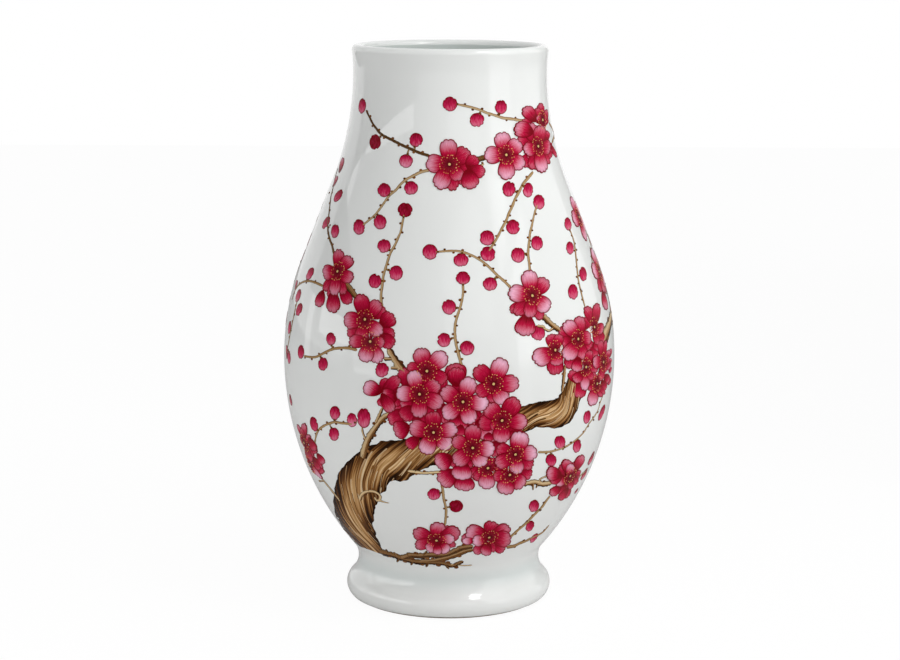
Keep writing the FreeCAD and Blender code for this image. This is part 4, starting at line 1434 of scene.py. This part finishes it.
# %% Loose petals, and the eyes that other blossoms hide
LOOSE_PETALS = [
    (452, 467, 8, .3, 460, 456), (386, 309, 12, .3, 370, 318), (350, 304, 11, .3, 341, 288),
    (510, 312, 11, .3, 526, 302), (300, 425, 6, .5, 304, 440), (308, 434, 7, .5, 306, 446),
    (317, 453, 6, .4, 309, 446), (312, 476, 6, .5, 311, 463), (613, 360, 9, .5, 609, 364),
    (613, 373, 9, .5, 609, 368), (612, 386, 9, .4, 608, 378), (613, 350, 8, .5, 609, 358),
    (461, 539, 14, .5, 476, 539), (402, 368, 13, .3, 409, 390), (504, 551, 11, .4, 491, 541),
    (422, 428, 14, .3, 424, 408), (441, 376, 13, .3, 441, 398), (447, 423, 16, .3, 440, 402),
    (477, 428, 12, .3, 476, 406), (458, 377, 13, .3, 460, 398), (393, 408, 13, .3, 408, 398),
    (530, 478, 14, .4, 519, 468), (347, 333, 12, .4, 364, 331), (395, 335, 12, .3, 377, 331),
    (517, 139, 12, .4, 534, 144), (522, 166, 13, .3, 535, 152), (569, 369, 14, .3, 575, 350),
    (595, 358, 10, .3, 590, 342), (603, 343, 9, .3, 598, 328), (559, 329, 12, .3, 574, 336),
    (389, 423, 16, .4, 407, 410), (298, 448, 6, .4, 304, 432), (496, 457, 14, .2, 494, 438),
    (407, 447, 12, .3, 419, 437), (611, 352, 8, .5, 605, 362), (612, 371, 8, .5, 606, 362),
    (610, 385, 8, .4, 605, 374), (606, 393, 8, .4, 602, 380), (611, 361, 7, .4, 604, 362),
    (455, 363, 21, .35, 457, 387), (441, 376, 14, .4, 430, 372), (480, 419, 16, .45, 493, 418),
    (474, 429, 18, .5, 467, 410), (508, 397, 15, .6, 496, 387), (484, 437, 15, .45, 492, 424),
    (497, 474, 13, .4, 505, 464), (446, 398, 12, .4, 455, 401), (455, 421, 14, .45, 460, 407),
    (546, 130, 10, .35, 541, 145), (534, 112, 13, .4, 540, 124), (549, 118, 8, .4, 544, 126),
    (553, 150, 10, .4, 545, 147), (551, 158, 10, .35, 543, 149), (531, 146, 12, .4, 538, 147),
    (529, 160, 11, .4, 537, 149), (521, 121, 12, .4, 533, 128), (562, 345, 14, .3, 574, 341),
    (567, 358, 13, .3, 575, 346), (591, 348, 12, .3, 582, 341), (595, 373, 12, .4, 591, 360),
    (589, 317, 10, .3, 582, 331), (598, 351, 10, .4, 595, 338), (309, 456, 8, .4, 304, 440),
    (322, 470, 8, .4, 312, 456), (306, 464, 7, .4, 306, 448), (299, 440, 5, .4, 304, 427),
    (487, 458, 15, .1, 492, 471), (500, 464, 13, .1, 503, 475), (515, 466, 13, .1, 511, 475),
    (478, 461, 13, .1, 486, 469), (418, 385, 14, .2, 426, 372), (432, 386, 14, .2, 427, 372),
    (391, 405, 15, .4, 399, 392), (387, 388, 15, .4, 399, 391), (470, 173, 15, .05, 455, 166),
    (465, 183, 12, .1, 455, 171), (549, 110, 7, .4, 545, 124), (550, 132, 7, .4, 545, 142),
    (546, 160, 9, .1, 541, 150), (530, 138, 10, .1, 536, 148), (578, 398, 13, .4, 583, 378),
    (571, 370, 12, .3, 579, 384), (594, 372, 9, .3, 590, 388), (580, 384, 12, .3, 588, 372),
    (491, 403, 15, .05, 493, 387), (444, 397, 12, .1, 452, 400), (520, 438, 12, .2, 512, 428),
    (440, 484, 19, .6, 455, 470), (464, 491, 20, .6, 465, 474), (436, 465, 18, .65, 452, 456),
    (473, 479, 15, .45, 484, 464), (469, 470, 13, .2, 462, 456), (461, 480, 20, .85, 463, 461),
    (457, 431, 19, .6, 460, 414), (496, 441, 18, .5, 489, 424), (486, 439, 19, .6, 479, 418),
    (456, 367, 17, .3, 457, 387), (470, 437, 16, .3, 470, 424), (427, 417, 14, .4, 428, 402),
    (508, 437, 16, .4, 508, 424), (534, 455, 14, .3, 520, 455), (404, 410, 18, .5, 414, 398),
    (476, 392, 16, .3, 486, 388), (450, 420, 14, .4, 452, 410), (487, 413, 9, .3, 486, 421),
    (488, 441, 10, .3, 489, 432), (460, 436, 10, .3, 461, 424), (512, 437, 8, .3, 512, 430),
    (487, 467, 10, .2, 487, 455), (416, 424, 14, .1, 418, 416), (294, 280, 4, .4, 295, 290),
    (286, 345, 3, .4, 287, 359), (338, 157, 6, .5, 339, 173), (334, 175, 4, .5, 333, 187),
    (593, 466, 6, .5, 594, 451), (586, 481, 6, .5, 587, 468), (577, 494, 3, .5, 578, 488),
    (290, 406, 4, .5, 290, 394),
]
COVERED_EYES = (1, 8)
print("loose petals:", len(LOOSE_PETALS))

# %% [markdown]
# The buds, each with its place, half its width, half its height, its tone and its lean in degrees.

# %% Buds
BUDS = [
    (362, 106, 3.8, 7.7, .5, 5), (375, 142, 6, 7.7, .1, 0), (416, 140, 7, 7, .4, 0),
    (406, 161, 7, 7, .7, 0), (450, 104, 7.7, 7.3, .4, 0), (477, 120, 7.3, 7.3, .5, 0),
    (501, 107, 7, 7, .4, 0), (411, 188, 7, 7, .5, 0), (384, 190, 6.5, 7.3, .4, 0),
    (405, 210, 7.3, 7.5, .1, 0), (380, 222, 6.5, 7.5, .5, 0), (359, 227, 6, 7.7, .5, 0),
    (509, 189, 6.7, 7.8, .4, 0), (528, 190, 5.3, 7.3, .5, 0), (539, 202, 5.8, 7.6, .5, 0),
    (513, 227, 7, 7.5, .4, 0), (384, 246, 6.6, 7, .5, 0), (396, 273, 6.8, 7.7, .5, 0),
    (375, 281, 6.5, 7.3, .4, 0), (430, 252, 7.5, 8, .5, 0), (461, 260, 7.7, 7, .5, 0),
    (463, 278, 7.3, 6.8, .4, 0), (449, 307, 7.2, 7.7, .5, 0), (487, 238, 7.5, 7.7, .5, 0),
    (488, 254, 7.8, 7.5, .4, 0), (518, 255, 7, 7.7, .5, 0), (537, 243, 6, 7.3, .5, 0),
    (490, 284, 7.2, 7, .5, 0), (444, 340, 6.8, 7.3, .5, 0), (467, 348, 7.3, 7.5, .5, 0),
    (538, 333, 7.3, 8, .5, 0), (382, 370, 7.8, 7.3, .5, 0), (336, 195, 3.7, 7, .4, 10),
    (324, 222, 3.7, 7, .4, 8), (335, 231, 4, 7, .5, 8), (308, 273, 3.5, 7, .5, 8),
    (297, 295, 3.4, 7, .5, 8), (298, 309, 3.5, 7, .4, 8), (289, 327, 2.6, 7, .5, 4),
    (289, 357, 2.6, 7, .5, 0), (301, 352, 3.4, 7, .4, 0), (331, 339, 5.7, 6.6, .5, 0),
    (323, 364, 5, 7, .4, 0), (568, 224, 4, 6.8, .5, -8), (570, 248, 4.2, 6.6, .5, -6),
    (583, 274, 4.2, 7.2, .4, -6), (573, 292, 5.2, 7.8, .5, -4), (335, 413, 5.3, 7, .5, 0),
    (314, 424, 4, 7.5, .4, -12), (334, 434, 5.2, 7, .5, -8), (352, 420, 5.2, 7, .7, -5),
    (364, 418, 6.8, 10, .5, 0), (434, 494, 6.7, 6, .5, 0), (456, 506, 7, 6.3, .1, 0),
    (560, 442, 6, 6.8, .5, 0), (577, 446, 5, 7, .5, 10), (551, 460, 5.7, 6.3, .4, 0),
    (534, 506, 5.5, 6.5, .5, 20), (530, 526, 4.6, 6, .4, 30), (534, 538, 3.6, 6, .5, 40),
    (587, 417, 4.5, 7, .5, 12), (601, 413, 3.5, 8, .4, 14),
]
print("buds:", len(BUDS))


# %% The painter's order
PETAL_LEVEL, BOUGH_LEVEL, BOUGH_ROUGH, TWIG_FADE = 4, 2, 0.2, 0.85
KNOTTY_WIDTH, SPUR_PLACES = 4, 3


def draw_blossom(kit, side, eye_at, behind, before, over=(), eye=True):
    for layer in (behind, before, over):
        for x, y, width, tone, *root in layer:
            petal(kit["petals"], side, root or eye_at, (x, y), width, tone, PETAL_LEVEL)
        if layer is before and eye:
            stamens(kit, side, eye_at)


def draw(kit, side):
    """The whole design on one side of the vase, in the painter's order."""
    twig_lines.clear()
    trunk(kit, side)
    for pixels, first, last, tone in BOUGHS:
        ridge(kit["boughs"], side, pixels, first, last, BOUGH_LEVEL, tone, BOUGH_ROUGH)
        if first >= KNOTTY_WIDTH and len(pixels) > SPUR_PLACES:
            knots_along(kit, side, pixels, (first + last) / 2, BOUGH_LEVEL + 1)
    for pixels, first, last, tone in TWIGS:
        twig(kit, side, pixels, first, last, TWIG_FADE * tone)
    for x, y, wide, high, tone, lean in BUDS:
        stalk(kit, side, x, y, high)
        bud(kit, side, x, y, wide, high, tone, lean)
    for x, y, width, tone, *root in LOOSE_PETALS:
        petal(kit["petals"], side, root, (x, y), width, tone, PETAL_LEVEL)
    for number, blossom in enumerate(BLOSSOMS):
        draw_blossom(kit, side, *blossom, eye=number not in COVERED_EYES)


print("levels of twigs, boughs, bark, petals, eyes:", TWIG_LEVEL, BOUGH_LEVEL, BARK_LEVEL,
      PETAL_LEVEL, EYE_LEVEL)

# %% [markdown]
# The enamels' colours.
# One recipe serves them all: a dark, a middle and a pale colour that follow the stroke from its
# root to its tip, fine streaks that the brush leaves along it, and a thin dark line round its edge.
# The recipe is a node group, and each enamel places it with its own colours.

# %% The stroke's recipe
PAINT_COLOURS = ("Dark", "Middle", "Pale", "Line")
PAINT_SHARES = ("Streaks", "Streak Share", "Line Share")
MIDDLE_RISE, PALE_START, PALE_RISE = 3.0, 0.33, 1.5
STREAK_NOISE = 2.6, 2.5, 0.5


def stroke_recipe():
    values = [fact.capitalize() for fact in FACTS] + list(PAINT_SHARES)
    group = new_group("stroke_paint", PAINT_COLOURS, values)
    given = node(group, "NodeGroupInput", (-1400, 0)).outputs
    sideways = calculate(group, "MULTIPLY", (given["Across"], given["Streaks"]), (-1150, 200))
    where = node(group, "ShaderNodeCombineXYZ", (-950, 100))
    fill(group, where.inputs, (sideways, given["Along"], given["Seed"]))
    streaks = noise(group, where.outputs[0], *STREAK_NOISE, (-750, 100))
    centred = calculate(group, "SUBTRACT", (streaks, 0.5), (-550, 100))
    strength = calculate(group, "MULTIPLY", (centred, given["Streak Share"]), (-380, 100))
    reach = calculate(group, "MULTIPLY", (given["Along"], given["Tone"]), (-550, -80))
    light = calculate(group, "ADD", (reach, strength), (-200, 0), True)
    to_middle = calculate(group, "MULTIPLY", (light, MIDDLE_RISE), (0, 100), True)
    beyond = calculate(group, "SUBTRACT", (light, PALE_START), (0, -100))
    to_pale = calculate(group, "MULTIPLY", (beyond, PALE_RISE), (170, -100), True)
    lower = mix_colours(group, to_middle, given["Dark"], given["Middle"], (200, 150))
    upper = mix_colours(group, to_pale, lower, given["Pale"], (400, 100))
    rim = calculate(group, "SUBTRACT", (1.0, given["Edge"]), (200, -300), True)
    line = calculate(group, "MULTIPLY", (rim, given["Line Share"]), (400, -300), True)
    painted = mix_colours(group, line, upper, given["Line"], (620, 50))
    node(group, "NodeGroupOutput", (900, 0), Color=painted, Height=streaks)
    return group


recipe = stroke_recipe()
print("nodes in the stroke's recipe:", len(recipe.nodes))

# %% An enamel from the recipe
ENAMEL_SURFACE = 0.16, 0.2, 0.06 * MM
ENAMEL_SHINE = {"IOR": 1.45, "Specular IOR Level": 0.04}


def fact_of(tree, fact, place):
    return node(tree, "ShaderNodeAttribute", place, attribute_name=fact).outputs["Fac"]


def enamel_material(name, colours, shares, follows, slope, start):
    """An enamel whose colour follows one fact of its strokes, with a slope and a start."""
    made, tree = new_material(f"{name}_enamel")
    facts = {
        fact: fact_of(tree, fact, (-600, 200 - 160 * row)) for row, fact in enumerate(FACTS)
    }
    facts["along"] = calculate(tree, "MULTIPLY_ADD", (facts[follows], slope, start), (-200, 200))
    settings = {fact.capitalize(): value for fact, value in facts.items()}
    settings |= {name: colour(*value) for name, value in zip(PAINT_COLOURS, colours)}
    settings |= dict(zip(PAINT_SHARES, shares))
    paint = node(tree, "ShaderNodeGroup", (200, 0), node_tree=recipe, **settings).outputs
    finish_material(tree, paint["Color"], paint["Height"], ENAMEL_SURFACE, **ENAMEL_SHINE)
    return made


print("an enamel's shine:", ENAMEL_SHINE)


# %% [markdown]
# The trunk's own colours run in slanting dry streaks from near black through brown to cream.

# %% The trunk's enamel
BARK_FINE, BARK_SLANT, BARK_EDGE = 2.5, -1.6 * TRUNK_TWIST, -0.26
BARK_NOISE, BARK_SURFACE = (2.4, 5.0, 0.6), (0.2, 0.4, 0.1 * MM)
BARK_COLOURS = (
    (0.25, (34, 16, 4)), (0.38, (94, 56, 24)), (0.46, (158, 112, 64)), (0.54, (204, 162, 110)),
    (0.64, (244, 222, 182)),
)


def ramp(tree, source, stops, place):
    """A colour ramp. The stops are positions and colours."""
    made = node(tree, "ShaderNodeValToRGB", place, Fac=source)
    bands = made.color_ramp.elements
    while len(bands) < len(stops):
        bands.new(0.5)
    for band, (position, value) in zip(bands, stops):
        band.position, band.color = position, value
    return made.outputs[0]


def trunk_material():
    made, tree = new_material("trunk_enamel")
    along, across = fact_of(tree, "along", (-1200, 200)), fact_of(tree, "across", (-1200, 0))
    edge = fact_of(tree, "edge", (-1200, -200))
    fine = calculate(tree, "MULTIPLY", (across, BARK_FINE), (-1000, 0))
    slant = calculate(tree, "MULTIPLY_ADD", (along, BARK_SLANT * BARK_FINE, fine), (-820, 60))
    where = node(tree, "ShaderNodeCombineXYZ", (-640, 100), X=slant, Y=along)
    streaks = noise(tree, where.outputs[0], *BARK_NOISE, (-460, 100))
    dark = calculate(tree, "SUBTRACT", (1.0, edge), (-240, -200), True)
    shade = calculate(tree, "MULTIPLY_ADD", (dark, BARK_EDGE, streaks), (-60, -60))
    stops = [(position, colour(*value)) for position, value in BARK_COLOURS]
    painted = ramp(tree, shade, stops, (100, 50))
    finish_material(tree, painted, streaks, BARK_SURFACE, **ENAMEL_SHINE)
    return made


print("browns in the bark:", len(BARK_COLOURS))


# %% [markdown]
# Each enamel has its dark, middle, pale and line colours, how fine and how strong its streaks are,
# how strong its line is, and then what its colour follows: a petal pales along its length, a bud
# darkens along it, and a ridge is lit across it.

# %% The enamels
DEEP_RED, DARK_LINE, KNOT_BROWN = (118, 0, 16), (122, 0, 18), (82, 42, 16)
THREAD_RED = (96, 6, 22)
ENAMELS = {
    "bark": ("bark", ((34, 16, 4), (150, 102, 54), (242, 220, 180), (90, 54, 24)),
             (3.0, 0.3, 0.25), "across", 0.15, 1.0),
    "boughs": ("bough", ((38, 18, 6), (152, 104, 56), (230, 202, 156), (40, 20, 6)),
               (5.0, 1.8, 1.0), "across", 2.4, 1.6),
    "twigs": ("twig", ((64, 36, 14), (170, 134, 86), (230, 212, 176), (78, 48, 20)),
              (3.0, 0.5, 0.85), "across", 0.4, 1.0),
    "knots": ("knot", (KNOT_BROWN, (124, 78, 38), (176, 128, 80), KNOT_BROWN),
              (2.0, 0.4, 0.4), "along", 0.9, 0.0),
    "buds": ("bud", (DEEP_RED, (196, 28, 78), (242, 168, 196), DARK_LINE),
             (4.0, 0.7, 1.0), "along", -1.2, 1.28),
    "centres": ("eye", ((70, 0, 14), (96, 2, 24), (140, 24, 50), (128, 0, 38)),
                (3.0, 0.4, 0.3), "along", 0.8, 0.0),
    "threads": ("thread", (THREAD_RED, (150, 30, 50), (190, 80, 90), THREAD_RED),
                (2.0, 0.2, 0.0), "along", 0.9, 0.0),
    "anthers": ("anther", ((196, 112, 60), (228, 152, 92), (240, 190, 130), (150, 70, 50)),
                (2.0, 0.4, 0.25), "along", 1.6, 0.0),
    "pistils": ("pistil", ((176, 130, 70), (216, 184, 116), (236, 214, 160), (170, 110, 60)),
                (2.0, 0.3, 0.4), "along", 1.6, 0.0),
    "petals": ("petal", (DEEP_RED, (190, 16, 62), (244, 190, 214), DARK_LINE),
               (15.0, 0.75, 1.0), "along", 1.65, -0.34),
}
FINISHES = {"trunk": trunk_material()}
FINISHES |= {piece: enamel_material(*enamel) for piece, enamel in ENAMELS.items()}
print("enamels:", ", ".join(FINISHES))

# %% [markdown]
# The design goes round the vase.
# The front is drawn from the picture. The photograph shows nothing of the back, so there the same
# tree is drawn again, half a turn on. Where the two meet, at the sides, a hanging shoot, a low
# shoot with its blossom, a bare shoot and two more blossoms are repeated, so that no side is left
# bare. A shoot is a number in the list of twigs, with the numbers of its buds.

# %% All the enamel, front and back
AROUND = {"front": (0, 101), "back": (180, 260)}
HANGING_SHOOT, HANGING_BUDS, HANGING_TURN = 7, (20, 21, 22, 28, 29), 86
LOW_SHOOT, LOW_BUDS, LOW_BLOSSOM = 20, (52, 53), 19
BARE_SHOOT, BARE_TURN, BARE_LOWER = 13, 24, -6 * MM
SIDE_BLOSSOMS = ((2, 47, 45 * MM), (28, 48, -5 * MM))


def draw_shoot(kit, side, line, buds):
    """One shoot of the design with its buds."""
    twig_lines.clear()
    twig(kit, side, *TWIGS[line])
    for number in buds:
        x, y, wide, high, tone, lean = BUDS[number]
        stalk(kit, side, x, y, high)
        bud(kit, side, x, y, wide, high, tone, lean)


for name, (turn, low_turn) in AROUND.items():
    kit = {piece: Enamel(f"{piece}_{name}") for piece in FINISHES}
    draw(kit, Side(turn))
    draw_shoot(kit, Side(turn + HANGING_TURN), HANGING_SHOOT, HANGING_BUDS)
    draw_shoot(kit, Side(low_turn), LOW_SHOOT, LOW_BUDS)
    draw_blossom(kit, Side(low_turn), *BLOSSOMS[LOW_BLOSSOM])
    draw_shoot(kit, Side(turn + BARE_TURN, BARE_LOWER), BARE_SHOOT, buds=())
    for number, further, lower in SIDE_BLOSSOMS:
        draw_blossom(kit, Side(turn + further, lower), *BLOSSOMS[number])
    for piece, finish in FINISHES.items():
        kit[piece].build(finish)
